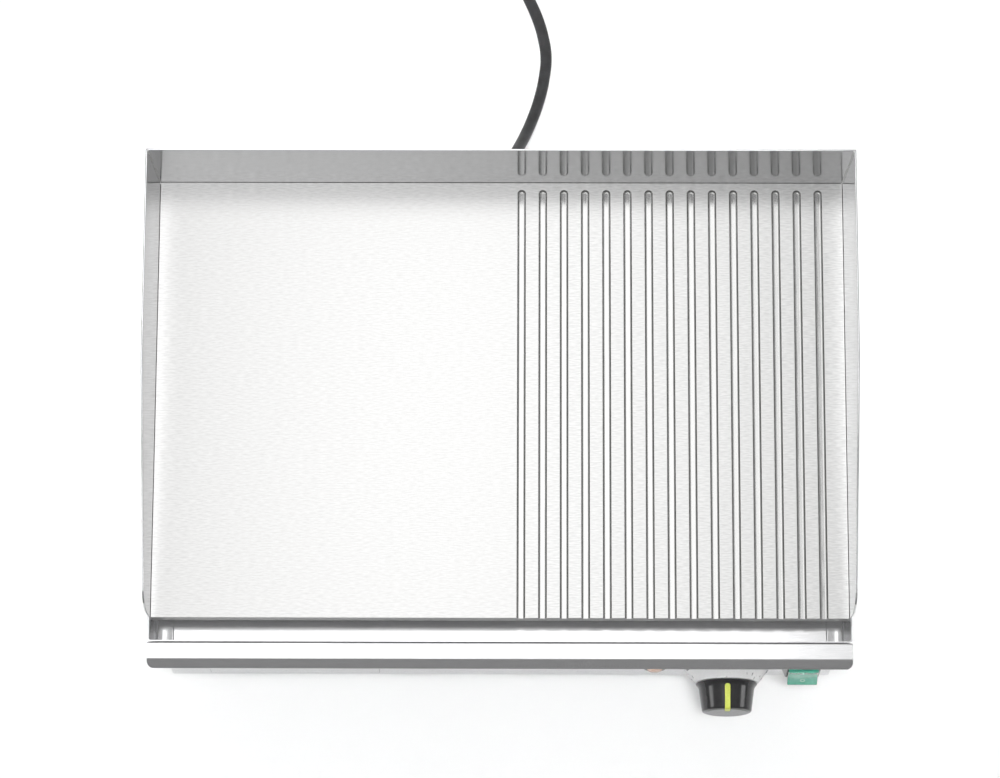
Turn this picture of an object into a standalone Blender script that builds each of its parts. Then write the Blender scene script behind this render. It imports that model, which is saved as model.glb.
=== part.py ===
"""Flat top griddle: an electric countertop griddle with a half ribbed plate.

Metres, +Z up, front faces -Y. The origin is the middle of the footprint at
table level. Heights are counted from the table, depths from the plate's front
edge, which PLATE_FRONT places in the frame.
"""

import math

import bmesh
import bpy
from mathutils import Matrix, Vector

MM = 0.001
GAP = 0.3 * MM

# Griddle plate
PLATE_WIDTH = 537.4 * MM
PLATE_DEPTH = 350 * MM
PLATE_THICKNESS = 10 * MM
PLATE_TOP = 172 * MM
PLATE_FRONT = -147.65 * MM
GROOVE_COUNT = 15
GROOVE_PITCH = 16.67 * MM
GROOVE_FIRST_X = 16.2 * MM
GROOVE_HALF = 3.1 * MM
GROOVE_HALF_BOTTOM = 1.65 * MM
GROOVE_DEPTH = 2.4 * MM
GROOVE_BACK_MARGIN = 5.8 * MM

# Splash guard
SPLASH_RISE = 68 * MM
SPLASH_FLARE = 4.9 * MM
SPLASH_SHEET = 1.5 * MM
SPLASH_DROP = 9.5 * MM
NOSE_HEIGHT = 35 * MM
NOSE_DEPTH = 18 * MM
NOSE_FOOT = 15 * MM
SLOPE_END = 193 * MM

# Grease gutter and front rim
GUTTER_FRONT = -15.6 * MM
GUTTER_BACK = 20 * MM
GUTTER_FLOOR = 24.5 * MM
GUTTER_HALF_FLOOR = 264.7 * MM
GUTTER_HALF_TOP = 270.8 * MM
GUTTER_SHEET = 1 * MM
DRAIN_X = -165 * MM
DRAIN_DEPTH = 13 * MM
DRAIN_RADIUS = 6 * MM
RIM_HALF = 272 * MM
RIM_DROP = 10 * MM
RIM_EDGE = -29.8 * MM
RIM_NOSE = -37 * MM
RIM_NOSE_DROP = 15.7 * MM
RIM_CORNER = 6 * MM
SHEET = 1.2 * MM

# Body
BODY_HALF = 261.5 * MM
BODY_BOTTOM = 44 * MM
BODY_TOP = 161.6 * MM
PANEL_FACE = -19.6 * MM
PANEL_BACK = -6 * MM
BODY_BACK = 332.2 * MM
SIDE_SHEET = 1 * MM
FLANGE = 15 * MM
CONTROLS_Z = 102 * MM
LAMP_X = 121.1 * MM
KNOB_X = 177.1 * MM
SWITCH_X = 237 * MM
SWITCH_PIVOT = -26 * MM
SWITCH_TILT = 10.7
SWITCH_BOX_X = 27.4 * MM
SWITCH_BOX_Z = 32.4 * MM
SHAFT_RADIUS = 3 * MM
KNOB_FACE = 41.2 * MM
LIMIT_X = -60 * MM

# Drip tray
TRAY_LEFT = -228 * MM
TRAY_RIGHT = -98 * MM
TRAY_BACK = 180 * MM
TRAY_BOTTOM = 53 * MM
TRAY_TOP = 80 * MM
TRAY_FACE_MARGIN = 1.5 * MM
TRAY_FACE_DROP = 2.5 * MM
TRAY_FACE_RISE = 3.5 * MM

# Heating, below the plate
ELEMENT_RADIUS = 4 * MM
ELEMENT_RUNS = (225 * MM, 165 * MM, 105 * MM, 45 * MM)
ELEMENT_FRONT = 45 * MM
ELEMENT_REAR = 300 * MM
CLAMP_DEPTHS = {"front": 100 * MM, "rear": 240 * MM}
STUD_X = 135 * MM

# Feet
FOOT_X = 240 * MM
FOOT_DEPTHS = {"front": 20 * MM, "rear": 305 * MM}

# Mains cord
CORD_RADIUS = 4.75 * MM
CORD_EXIT = Vector((2, 362.3, 60)) * MM
COIL_CENTRE = Vector((-81.3, 643.8, 0)) * MM
COIL_INNER = 46.3 * MM
COIL_OUTER = 65.7 * MM
COIL_BOTTOM = 1.2 * MM
COIL_TOP = 20.2 * MM
PLUG_START_X = -118.2 * MM
PLUG_AXIS_Z = 18.8 * MM
CORD_ROUTE = (
    (2, 362.3, 60),
    (2, 377, 60),
    (3.5, 392, 55),
    (7, 408, 42.5),
    (12.5, 424, 27),
    (18.5, 440, 13.5),
    (24.3, 456, 6.4),
    (30.2, 474, 4.9),
    (34.5, 494, 4.9),
    (36, 512, 4.9),
    (33.6, 529, 4.9),
    (28.8, 546, 4.9),
    (21.6, 563, 4.9),
    (13.4, 581.3, 4.9),
    (5.2, 599.5, 4.9),
    (-2.8, 617.2, 5.2),
    (-11.3, 636.3, 5.7),
)


def clear_scene():
    for obj in list(bpy.data.objects):
        bpy.data.objects.remove(obj, do_unlink=True)


def finish(name, colour, metallic, roughness):
    """A Principled BSDF material, made once for each name."""
    material = bpy.data.materials.get(name)
    if material:
        return material
    material = bpy.data.materials.new(name)
    material.use_nodes = True
    shader = material.node_tree.nodes["Principled BSDF"]
    shader.inputs["Base Color"].default_value = (*colour, 1)
    shader.inputs["Metallic"].default_value = metallic
    shader.inputs["Roughness"].default_value = roughness
    material.diffuse_color = (*colour, 1)
    return material


def plate_steel():
    return finish("plate_steel", (0.72, 0.72, 0.71), 1, 0.35)


def stainless():
    return finish("stainless", (0.66, 0.67, 0.68), 1, 0.22)


def galvanised():
    return finish("galvanised", (0.55, 0.57, 0.58), 1, 0.45)


def black_plastic():
    return finish("black_plastic", (0.03, 0.03, 0.032), 0, 0.35)


def silver_plastic():
    return finish("silver_plastic", (0.7, 0.7, 0.7), 0.8, 0.3)


def pointer_green():
    return finish("pointer_green", (0.7, 0.8, 0.1), 0, 0.4)


def switch_green():
    return finish("switch_green", (0.07, 0.42, 0.28), 0, 0.25)


def amber():
    return finish("amber", (0.95, 0.42, 0.16), 0, 0.2)


def rubber():
    return finish("rubber", (0.035, 0.035, 0.037), 0, 0.65)


def element_steel():
    return finish("element_steel", (0.2, 0.21, 0.2), 1, 0.5)


def ceramic_wool():
    return finish("ceramic_wool", (0.86, 0.85, 0.8), 0, 0.95)


def ceramic():
    return finish("ceramic", (0.85, 0.83, 0.78), 0, 0.4)


def brass():
    return finish("brass", (0.75, 0.6, 0.32), 1, 0.3)


def at(x, depth, z):
    """A point in the frame, from its depth behind the plate's front edge."""
    return Vector((x, PLATE_FRONT + depth, z))


def add_object(name, bm, material, smooth=False):
    bmesh.ops.recalc_face_normals(bm, faces=bm.faces)
    mesh = bpy.data.meshes.new(name)
    bm.to_mesh(mesh)
    bm.free()
    if smooth:
        mesh.shade_smooth()
        mesh.set_sharp_from_angle(angle=math.radians(35))
    obj = bpy.data.objects.new(name, mesh)
    bpy.context.scene.collection.objects.link(obj)
    if material:
        mesh.materials.append(material)
    return obj


def set_origin(obj, origin):
    """Moves the object's origin, and leaves its shape where it is."""
    obj.data.transform(Matrix.Translation(-origin))
    obj.location = origin


def add_loft(bm, rings, closed=False):
    """Joins rings of points into a skin: capped at both ends, or joined end to start."""
    made = [[bm.verts.new(point) for point in ring] for ring in rings]
    pairs = list(zip(made, made[1:]))
    if closed:
        pairs.append((made[-1], made[0]))
    for near, far in pairs:
        for i in range(len(near)):
            j = (i + 1) % len(near)
            bm.faces.new((near[i], near[j], far[j], far[i]))
    if not closed:
        bm.faces.new(made[0])
        bm.faces.new(made[-1])


def loft(name, rings, material, closed=False, smooth=False):
    bm = bmesh.new()
    add_loft(bm, rings, closed)
    return add_object(name, bm, material, smooth)


def prism_rings(outline, axis, start, end):
    """Rings of an outline extruded along X, Y (a depth) or Z."""
    if axis == "X":
        return [[at(along, a, b) for a, b in outline] for along in (start, end)]
    if axis == "Y":
        return [[at(a, along, b) for a, b in outline] for along in (start, end)]
    return [[at(a, b, along) for a, b in outline] for along in (start, end)]


def prism(name, outline, axis, start, end, material):
    return loft(name, prism_rings(outline, axis, start, end), material)


def rectangle(low_a, high_a, low_b, high_b):
    return [(low_a, low_b), (high_a, low_b), (high_a, high_b), (low_a, high_b)]


def box(name, x, depth, z, material):
    """A box from three (low, high) pairs."""
    return prism(name, rectangle(*x, *depth), "Z", *z, material)


def slot_outline(centre_a, centre_b, half_a, half_b, steps=3):
    """An upright slot with round ends, where half_a is less than half_b."""
    points = []
    for side in (1, -1):
        for step in range(steps + 1):
            angle = math.pi * step / steps
            a = centre_a + side * half_a * math.cos(angle)
            b = centre_b + side * (half_b - half_a + half_a * math.sin(angle))
            points.append((a, b))
    return points


def sheet_outline(path, thickness):
    """The closed outline of a folded sheet whose middle follows path."""
    points = [Vector(point) for point in path]
    sides = []
    for i, point in enumerate(points):
        before = (point - points[i - 1]).normalized() if i else None
        after = (points[i + 1] - point).normalized() if i < len(points) - 1 else None
        before = before or after
        after = after or before
        bisector = (before + after).normalized()
        normal = Vector((-bisector.y, bisector.x))
        reach = thickness / 2 / bisector.dot(after)
        sides.append((point + normal * reach, point - normal * reach))
    left = [tuple(side[0]) for side in sides]
    right = [tuple(side[1]) for side in reversed(sides)]
    return left + right


def turned(name, profile, centre, direction, material, steps=32, ring=False):
    """Turns (radius, distance) points about the line from centre along direction.

    A ring's profile closes on itself; any other begins and ends on the axis.
    """
    turn = Vector((0, 0, 1)).rotation_difference(Vector(direction)).to_matrix()
    bm = bmesh.new()
    rows = []
    for radius, distance in profile:
        row = []
        for step in range(steps if radius > 0 else 1):
            angle = 2 * math.pi * step / steps
            local = Vector((radius * math.cos(angle), radius * math.sin(angle), distance))
            row.append(bm.verts.new(centre + turn @ local))
        rows.append(row)
    pairs = list(zip(rows, rows[1:]))
    if ring:
        pairs.append((rows[-1], rows[0]))
    for near, far in pairs:
        for i in range(steps):
            j = (i + 1) % steps
            if len(near) == 1:
                bm.faces.new((near[0], far[j], far[i]))
            elif len(far) == 1:
                bm.faces.new((near[i], near[j], far[0]))
            else:
                bm.faces.new((near[i], near[j], far[j], far[i]))
    return add_object(name, bm, material, smooth=True)


def rod(radius, start, end):
    """The profile of a plain cylinder."""
    return [(0, start), (radius, start), (radius, end), (0, end)]


def hex_ring(name, bore, across, centre, direction, height, material):
    """A hexagon nut with a round bore."""
    nut = turned(name, rod(across / math.sqrt(3), 0, height), centre, direction, material, steps=6)
    hole = turned(name + "_hole", rod(bore, -height, 2 * height), centre, direction, None, steps=12)
    cut(nut, hole)
    return nut


def helper(cutter):
    cutter.hide_render = True
    cutter.display_type = "WIRE"


def combine(target, other, operation):
    modifier = target.modifiers.new(operation.title(), "BOOLEAN")
    modifier.operation = operation
    modifier.solver = "EXACT"
    modifier.object = other
    helper(other)


def cut(target, cutter):
    combine(target, cutter, "DIFFERENCE")


def join(target, other):
    combine(target, other, "UNION")


def cut_slots(target, outlines, axis, start, end):
    """Cuts a row of separate outlines with one cutter."""
    bm = bmesh.new()
    for outline in outlines:
        add_loft(bm, prism_rings(outline, axis, start, end))
    cut(target, add_object(target.name + "_slots", bm, None))


def smooth_route(points, spacing):
    """Points about spacing apart on a Catmull-Rom curve through the route's points."""
    ends = [points[0] * 2 - points[1], *points, points[-1] * 2 - points[-2]]
    route = []
    for p0, p1, p2, p3 in zip(ends, ends[1:], ends[2:], ends[3:]):
        count = max(1, round((p2 - p1).length / spacing))
        for step in range(count):
            t = step / count
            route.append(
                0.5
                * (
                    2 * p1
                    + (p2 - p0) * t
                    + (2 * p0 - 5 * p1 + 4 * p2 - p3) * t**2
                    + (3 * p1 - p0 - 3 * p2 + p3) * t**3
                )
            )
    return [*route, points[-1]]


def rounded_route(points, radius, steps):
    """A route of straight runs, each corner an arc of the radius."""
    route = [points[0]]
    for before, corner, after in zip(points, points[1:], points[2:]):
        into = (corner - before).normalized()
        out = (after - corner).normalized()
        turn = into.angle(out)
        reach = radius * math.tan(turn / 2)
        inward = (out - into).normalized()
        centre = corner + inward * math.hypot(radius, reach)
        first = corner - into * reach - centre
        axis = first.cross(into)
        for step in range(steps + 1):
            route.append(centre + Matrix.Rotation(turn * step / steps, 3, axis) @ first)
    return [*route, points[-1]]


def tube(name, points, radius, material, sides=2):
    curve = bpy.data.curves.new(name, "CURVE")
    curve.dimensions = "3D"
    curve.bevel_depth = radius
    curve.bevel_resolution = sides
    curve.use_fill_caps = True
    spline = curve.splines.new("POLY")
    spline.points.add(len(points) - 1)
    for slot, point in zip(spline.points, points):
        slot.co = (*point, 1)
    curve.materials.append(material)
    obj = bpy.data.objects.new(name, curve)
    bpy.context.scene.collection.objects.link(obj)
    return obj


# The plate and what is welded to it


def add_griddle_plate():
    half = PLATE_WIDTH / 2
    plate = box(
        "griddle_plate",
        (-half, half),
        (0, PLATE_DEPTH),
        (PLATE_TOP - PLATE_THICKNESS, PLATE_TOP),
        plate_steel(),
    )
    for index in range(GROOVE_COUNT):
        x = GROOVE_FIRST_X + GROOVE_PITCH * index
        rings = [groove_ring(x, reach, z) for reach, z in groove_section()]
        cut(plate, loft(f"groove_{index + 1}", rings, None))


def groove_ring(x, reach, z):
    """The groove's outline in plan at one level: open in front, round at the back."""
    start = -5 * MM
    end = PLATE_DEPTH - GROOVE_BACK_MARGIN - GROOVE_HALF
    points = [(x + reach, start)]
    for step in range(9):
        angle = math.radians(180 * step / 8)
        points.append((x + reach * math.cos(angle), end + reach * math.sin(angle)))
    points.append((x - reach, start))
    return [at(a, depth, PLATE_TOP + z) for a, depth in points]


def groove_section():
    """(half width, height) up one side: a flat bottom, a round corner and a steep wall."""
    radius = GROOVE_HALF - 0.15 * MM - GROOVE_HALF_BOTTOM
    section = []
    for step in range(4):
        angle = math.radians(90 * step / 3)
        section.append(
            (
                GROOVE_HALF_BOTTOM + radius * math.sin(angle),
                -GROOVE_DEPTH + radius * (1 - math.cos(angle)),
            )
        )
    return [*section, (GROOVE_HALF, 0), (GROOVE_HALF, 2 * MM)]


def splash_levels(rise):
    """(height, outward shift) of the wall's inner face: foot, bend and top."""
    return (
        (PLATE_TOP - SPLASH_DROP, 0),
        (PLATE_TOP, 0),
        (PLATE_TOP + rise, SPLASH_FLARE * rise / SPLASH_RISE),
    )


def splash_ring(place, rise):
    """A wall's section: up its inner face and down its outer one.

    place(shift, z) gives the point whose distance outside the plate is shift.
    """
    levels = splash_levels(rise)
    inner = [place(GAP + shift, z) for z, shift in levels]
    outer = [place(GAP + shift + SPLASH_SHEET, z) for z, shift in reversed(levels)]
    return inner + outer


def side_heights():
    """(depth, rise) along the top edge of a side wall, from its nose to the back."""
    stations = []
    for step in range(7):
        angle = math.radians(90 * step / 6)
        depth = NOSE_DEPTH * (1 - math.cos(angle))
        rise = NOSE_FOOT + (NOSE_HEIGHT - NOSE_FOOT) * math.sin(angle)
        stations.append((depth, rise))
    stations.append((SLOPE_END, SPLASH_RISE))
    return stations


def add_splash_side(name, side):
    half = PLATE_WIDTH / 2
    rings = []
    for depth, rise in side_heights():
        rings.append(splash_ring(lambda shift, z: at(side * (half + shift), depth, z), rise))
    mitre = PLATE_DEPTH - GAP
    rings.append(
        splash_ring(lambda shift, z: at(side * (half + shift), mitre + shift, z), SPLASH_RISE)
    )
    loft(name, rings, stainless())


def add_splash_back():
    half = PLATE_WIDTH / 2 - GAP
    rings = []
    for side in (-1, 1):
        rings.append(
            splash_ring(
                lambda shift, z: at(side * (half + shift), PLATE_DEPTH + shift, z), SPLASH_RISE
            )
        )
    loft("splash_back", rings, stainless())


def gutter_ring(half, front, back, z):
    return [at(-half, front, z), at(half, front, z), at(half, back, z), at(-half, back, z)]


def add_grease_gutter():
    floor = PLATE_TOP - GUTTER_FLOOR
    top = PLATE_TOP - PLATE_THICKNESS - GAP
    wall = GUTTER_SHEET
    front = GUTTER_FRONT
    slope = (GUTTER_HALF_TOP - GUTTER_HALF_FLOOR) / (top - floor)
    back = GUTTER_BACK
    low_half = GUTTER_HALF_FLOOR + wall - slope * wall
    outer_rings = [
        gutter_ring(low_half, front - wall, back + wall, floor - wall),
        gutter_ring(GUTTER_HALF_TOP + wall, front - wall, back + wall, top),
    ]
    gutter = loft("grease_gutter", outer_rings, stainless())
    over = 5 * MM
    inner_rings = [
        gutter_ring(GUTTER_HALF_FLOOR, front, back, floor),
        gutter_ring(GUTTER_HALF_TOP + slope * over, front, back, top + over),
    ]
    cut(gutter, loft("gutter_hollow", inner_rings, None))
    centre = at(DRAIN_X, DRAIN_DEPTH, floor)
    spout = turned(
        "gutter_spout", rod(DRAIN_RADIUS + wall, -12 * MM, -wall / 2), centre, (0, 0, 1), None, steps=20
    )
    join(gutter, spout)
    drain = turned(
        "gutter_drain", rod(DRAIN_RADIUS, -20 * MM, 5 * MM), centre, (0, 0, 1), None, steps=20
    )
    cut(gutter, drain)


def add_drain_pipe():
    inner = DRAIN_RADIUS + GUTTER_SHEET + GAP
    outer = inner + 1.5 * MM
    top = PLATE_TOP - GUTTER_FLOOR - GUTTER_SHEET - GAP
    bottom = TRAY_TOP + 6 * MM
    profile = [(inner, bottom), (outer, bottom), (outer, top), (inner, top)]
    turned("drain_pipe", profile, at(DRAIN_X, DRAIN_DEPTH, 0), (0, 0, 1), stainless(), 20, ring=True)


def add_front_rim():
    """The visor: a flange behind, the flat on top and the slanted front face."""
    top = PLATE_TOP - RIM_DROP
    half_sheet = SHEET / 2
    back = GUTTER_FRONT - GUTTER_SHEET - GAP - half_sheet
    path = [
        (back, top - 12 * MM),
        (back, top - half_sheet),
        (RIM_EDGE, top - half_sheet),
        (RIM_NOSE + half_sheet, PLATE_TOP - RIM_NOSE_DROP),
    ]
    rim = prism("front_rim", sheet_outline(path, SHEET), "X", -RIM_HALF, RIM_HALF, stainless())
    for side in (-1, 1):
        cut(rim, rim_corner_cutter(side))


def rim_corner_cutter(side):
    """The waste outside the round lower corner of the slanted face."""
    edge = side * (RIM_HALF + MM)
    centre_x = side * (RIM_HALF - RIM_CORNER)
    low = RIM_NOSE - 2 * MM
    centre_depth = RIM_NOSE + RIM_CORNER * 0.8
    outline = []
    for step in range(7):
        angle = math.radians(90 * step / 6)
        x = centre_x + side * RIM_CORNER * math.cos(angle)
        outline.append((x, centre_depth - RIM_CORNER * math.sin(angle) * 0.8))
    outline += [(centre_x, low), (edge, low), (edge, centre_depth)]
    name = "rim_corner_right" if side > 0 else "rim_corner_left"
    bottom = PLATE_TOP - RIM_NOSE_DROP - 6 * MM
    return prism(name, outline, "Z", bottom, PLATE_TOP - RIM_DROP + MM, None)


# The body


def add_control_panel():
    """A pan open to the rear and the top, with the openings of what it carries."""
    top = PLATE_TOP - RIM_DROP - SHEET - GAP
    panel = box(
        "control_panel",
        (-BODY_HALF, BODY_HALF),
        (PANEL_FACE, PANEL_BACK),
        (BODY_BOTTOM, top),
        stainless(),
    )
    inside = BODY_HALF - SHEET
    hollow = box(
        "panel_hollow",
        (-inside, inside),
        (PANEL_FACE + SHEET, PANEL_BACK + 5 * MM),
        (BODY_BOTTOM + SHEET, top + 5 * MM),
        None,
    )
    cut(panel, hollow)
    reach = BODY_HALF + 5 * MM
    gutter_room = box(
        "panel_gutter_room",
        (-reach, reach),
        (PANEL_FACE + SHEET, PANEL_BACK + 5 * MM),
        (PLATE_TOP - GUTTER_FLOOR - 4 * MM, top + 5 * MM),
        None,
    )
    cut(panel, gutter_room)
    for name, x, radius in (("lamp", LAMP_X, 7.5 * MM), ("shaft", KNOB_X, 5.5 * MM)):
        centre = at(x, PANEL_FACE, CONTROLS_Z)
        cut(panel, turned(name + "_hole", rod(radius, -5 * MM, 5 * MM), centre, (0, 1, 0), None, 20))
    half_x = SWITCH_BOX_X / 2 + GAP
    half_z = SWITCH_BOX_Z / 2 + GAP
    through = (PANEL_FACE - 2 * MM, PANEL_FACE + 4 * MM)
    switch_hole = box(
        "switch_hole",
        (SWITCH_X - half_x, SWITCH_X + half_x),
        through,
        (CONTROLS_Z - half_z, CONTROLS_Z + half_z),
        None,
    )
    cut(panel, switch_hole)
    room = TRAY_FACE_MARGIN + 0.6 * MM
    tray_hole = box(
        "tray_hole",
        (TRAY_LEFT - room, TRAY_RIGHT + room),
        through,
        (TRAY_BOTTOM - TRAY_FACE_DROP - 0.6 * MM, TRAY_TOP + TRAY_FACE_RISE + 0.6 * MM),
        None,
    )
    cut(panel, tray_hole)


def add_side_panel(name, side):
    """A channel with its flanges turned in, notched in front for the gutter."""
    outer = BODY_HALF - SIDE_SHEET / 2
    inner = outer - FLANGE
    top = BODY_TOP - SIDE_SHEET / 2
    bottom = BODY_BOTTOM + SIDE_SHEET * 1.5
    path = [(side * x, z) for x, z in ((inner, top), (outer, top), (outer, bottom), (inner, bottom))]
    start = PANEL_BACK + GAP
    end = BODY_BACK - SHEET - GAP
    panel = prism(name, sheet_outline(path, SIDE_SHEET), "Y", start, end, stainless())
    reach = BODY_HALF + 5 * MM
    notch = box(
        name + "_notch",
        sorted((side * (inner - 5 * MM), side * reach)),
        (start - 5 * MM, GUTTER_BACK + 2 * MM),
        (PLATE_TOP - GUTTER_FLOOR - 4 * MM, BODY_TOP + 5 * MM),
        None,
    )
    cut(panel, notch)
    outlines = []
    for index in range(8):
        depth = 150 * MM + 20 * MM * index
        outlines.append(slot_outline(depth, 100 * MM, 2.5 * MM, 25 * MM))
    low, high = sorted((side * (outer - 3 * MM), side * (outer + 3 * MM)))
    cut_slots(panel, outlines, "X", low, high)


def add_rear_panel():
    panel = box(
        "rear_panel",
        (-BODY_HALF, BODY_HALF),
        (BODY_BACK - SHEET, BODY_BACK),
        (BODY_BOTTOM, BODY_TOP - MM),
        stainless(),
    )
    outlines = []
    for side in (-1, 1):
        for index in range(7):
            x = side * (110 * MM + 18 * MM * index)
            outlines.append(slot_outline(x, 105 * MM, 2.5 * MM, 25 * MM))
    cut_slots(panel, outlines, "Y", BODY_BACK - 5 * MM, BODY_BACK + 5 * MM)
    gland = at(CORD_EXIT.x, BODY_BACK, CORD_EXIT.z)
    cut(panel, turned("gland_hole", rod(8.4 * MM, -5 * MM, 5 * MM), gland, (0, 1, 0), None, 20))
    reset = at(LIMIT_X, BODY_BACK, CONTROLS_Z)
    cut(panel, turned("reset_hole", rod(5.4 * MM, -5 * MM, 5 * MM), reset, (0, 1, 0), None, 16))


def add_base_pan():
    half = BODY_HALF - SIDE_SHEET - GAP
    low = BODY_BOTTOM + SIDE_SHEET * 2 + GAP
    front = PANEL_BACK + GAP
    back = BODY_BACK - SHEET - GAP
    pan = box("base_pan", (-half, half), (front, back), (low, low + SIDE_SHEET), galvanised())
    outlines = []
    for index in range(9):
        x = -48 * MM + 26 * MM * index
        outlines.append(slot_outline(x, 120 * MM, 3 * MM, 40 * MM))
    cut_slots(pan, outlines, "Z", low - 5 * MM, low + 5 * MM)
    for side in (-1, 1):
        for place, depth in FOOT_DEPTHS.items():
            centre = at(side * FOOT_X, depth, low)
            hole = rod(4.3 * MM, -5 * MM, 5 * MM)
            cut(pan, turned(f"foot_hole_{place}_{side}", hole, centre, (0, 0, 1), None, 16))


# Controls


def panel_point(x):
    return at(x, PANEL_FACE, CONTROLS_Z)


def add_pilot_lamp():
    centre = panel_point(LAMP_X)
    bezel = [
        (0, -15 * MM),
        (7.2 * MM, -15 * MM),
        (7.2 * MM, GAP),
        (8.3 * MM, GAP),
        (8.3 * MM, 6.4 * MM),
        (7.6 * MM, 7.2 * MM),
        (6.3 * MM, 7.2 * MM),
        (6.3 * MM, 1 * MM),
        (0, 1 * MM),
    ]
    turned("pilot_lamp_bezel", bezel, centre, (0, -1, 0), black_plastic(), 24)
    lens = [(0, 1.3 * MM), (6 * MM, 1.3 * MM), (6 * MM, 7.4 * MM)]
    for step in range(1, 4):
        angle = math.radians(90 * step / 4)
        lens.append((6 * MM * math.cos(angle), 7.4 * MM + 2 * MM * math.sin(angle)))
    lens.append((0, 9.4 * MM))
    turned("pilot_lamp_lens", lens, centre, (0, -1, 0), amber(), 24)


def add_dial_ring():
    profile = [
        (37 * MM, GAP),
        (24.6 * MM, 17.9 * MM),
        (8 * MM, 17.9 * MM),
        (8 * MM, 16.4 * MM),
        (23.7 * MM, 16.4 * MM),
        (35.2 * MM, GAP),
    ]
    turned("dial_ring", profile, panel_point(KNOB_X), (0, -1, 0), silver_plastic(), 48, ring=True)


def pointer_outline(clearance):
    """(depth, height) of the pointer that lies along the knob's top and over its face."""
    up = clearance * 3
    points = (
        (21.6 * MM - clearance, 21.9 * MM + up),
        (24 * MM, 21.8 * MM + up),
        (39.6 * MM + up, 19.9 * MM + up),
        (41.3 * MM + up, 18.8 * MM + up),
        (41.8 * MM + up, 17.4 * MM + up),
        (41.8 * MM + up, 10 * MM - clearance),
        (40.4 * MM - clearance, 10 * MM - clearance),
        (40.4 * MM - clearance, 17.2 * MM - clearance),
        (39 * MM - clearance, 18.3 * MM - clearance),
        (24 * MM, 20 * MM - clearance),
        (21.6 * MM - clearance, 20.2 * MM - clearance),
    )
    return [(PANEL_FACE - out, CONTROLS_Z + height) for out, height in points]


def add_knob():
    centre = panel_point(KNOB_X)
    profile = [
        (SHAFT_RADIUS + 0.3 * MM, 18.3 * MM),
        (23.9 * MM, 18.3 * MM),
        (23.9 * MM, 19.6 * MM),
        (22.4 * MM, 21.2 * MM),
        (21.4 * MM, 24 * MM),
        (19.5 * MM, 39.2 * MM),
        (18.9 * MM, 40.6 * MM),
        (17.6 * MM, KNOB_FACE),
        (0, KNOB_FACE),
        (0, 35 * MM),
        (SHAFT_RADIUS + 0.3 * MM, 35 * MM),
    ]
    knob = turned_cup("knob", profile, centre, black_plastic())
    half = 2.1 * MM
    outline = pointer_outline(GAP)
    reach = half + GAP
    cut(knob, prism("pointer_groove", outline, "X", KNOB_X - reach, KNOB_X + reach, None))
    outline = pointer_outline(0)
    pointer = prism("knob_pointer", outline, "X", KNOB_X - half, KNOB_X + half, pointer_green())
    set_origin(knob, centre)
    set_origin(pointer, centre)


def turned_cup(name, profile, centre, material):
    """A turned solid with a blind bore: its profile starts at the bore's mouth."""
    bore_mouth = profile[0]
    face = [(0, bore_mouth[1])] + profile[1:9]
    cup = turned(name, face, centre, (0, -1, 0), material, 48)
    radius, start = bore_mouth
    end = profile[9][1]
    bore = turned(name + "_bore", rod(radius, start - 5 * MM, end), centre, (0, -1, 0), None, 16)
    cut(cup, bore)
    return cup


def add_thermostat():
    centre = panel_point(KNOB_X)
    front = PANEL_FACE + SHEET + GAP
    body = box(
        "thermostat_body",
        (KNOB_X - 19 * MM, KNOB_X + 19 * MM),
        (front, front + 30 * MM),
        (CONTROLS_Z - 16 * MM, CONTROLS_Z + 16 * MM),
        galvanised(),
    )
    neck = turned("thermostat_neck", rod(5 * MM, -6 * MM, 3 * MM), centre, (0, -1, 0), None, 20)
    join(body, neck)
    bore = rod(SHAFT_RADIUS + 0.35 * MM, -12 * MM, 6 * MM)
    cut(body, turned("thermostat_bore", bore, centre, (0, -1, 0), None, 16))
    shaft = rod(SHAFT_RADIUS, -11 * MM, 34.5 * MM)
    obj = turned("thermostat_shaft", shaft, centre, (0, -1, 0), galvanised(), 16)
    set_origin(obj, centre)


def add_thermostat_bulb():
    height = PLATE_TOP - PLATE_THICKNESS - 3.4 * MM
    bulb = rod(3 * MM, 0, 80 * MM)
    turned("thermostat_bulb", bulb, at(-STUD_X, 135 * MM, height), (0, 1, 0), brass(), 12)
    points = [
        at(-STUD_X, 134.6 * MM, height),
        at(-STUD_X, 122 * MM, height - 3 * MM),
        at(-STUD_X + 6 * MM, 108 * MM, 143.5 * MM),
        at(-80 * MM, 66 * MM, 141.5 * MM),
        at(50 * MM, 34 * MM, 140 * MM),
        at(150 * MM, 29 * MM, 136 * MM),
        at(KNOB_X - 2 * MM, 16 * MM, 128 * MM),
        at(KNOB_X, 2 * MM, CONTROLS_Z + 17 * MM),
    ]
    tube("capillary_tube", smooth_route(points, 10 * MM), 0.9 * MM, brass(), sides=0)


def tilted(u, w):
    """A rocker point from its neutral place, turned to the pressed rest position."""
    angle = math.radians(SWITCH_TILT)
    out = u * math.cos(angle) - w * math.sin(angle)
    up = w * math.cos(angle) + u * math.sin(angle)
    return (SWITCH_PIVOT - out, CONTROLS_Z + up)


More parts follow.
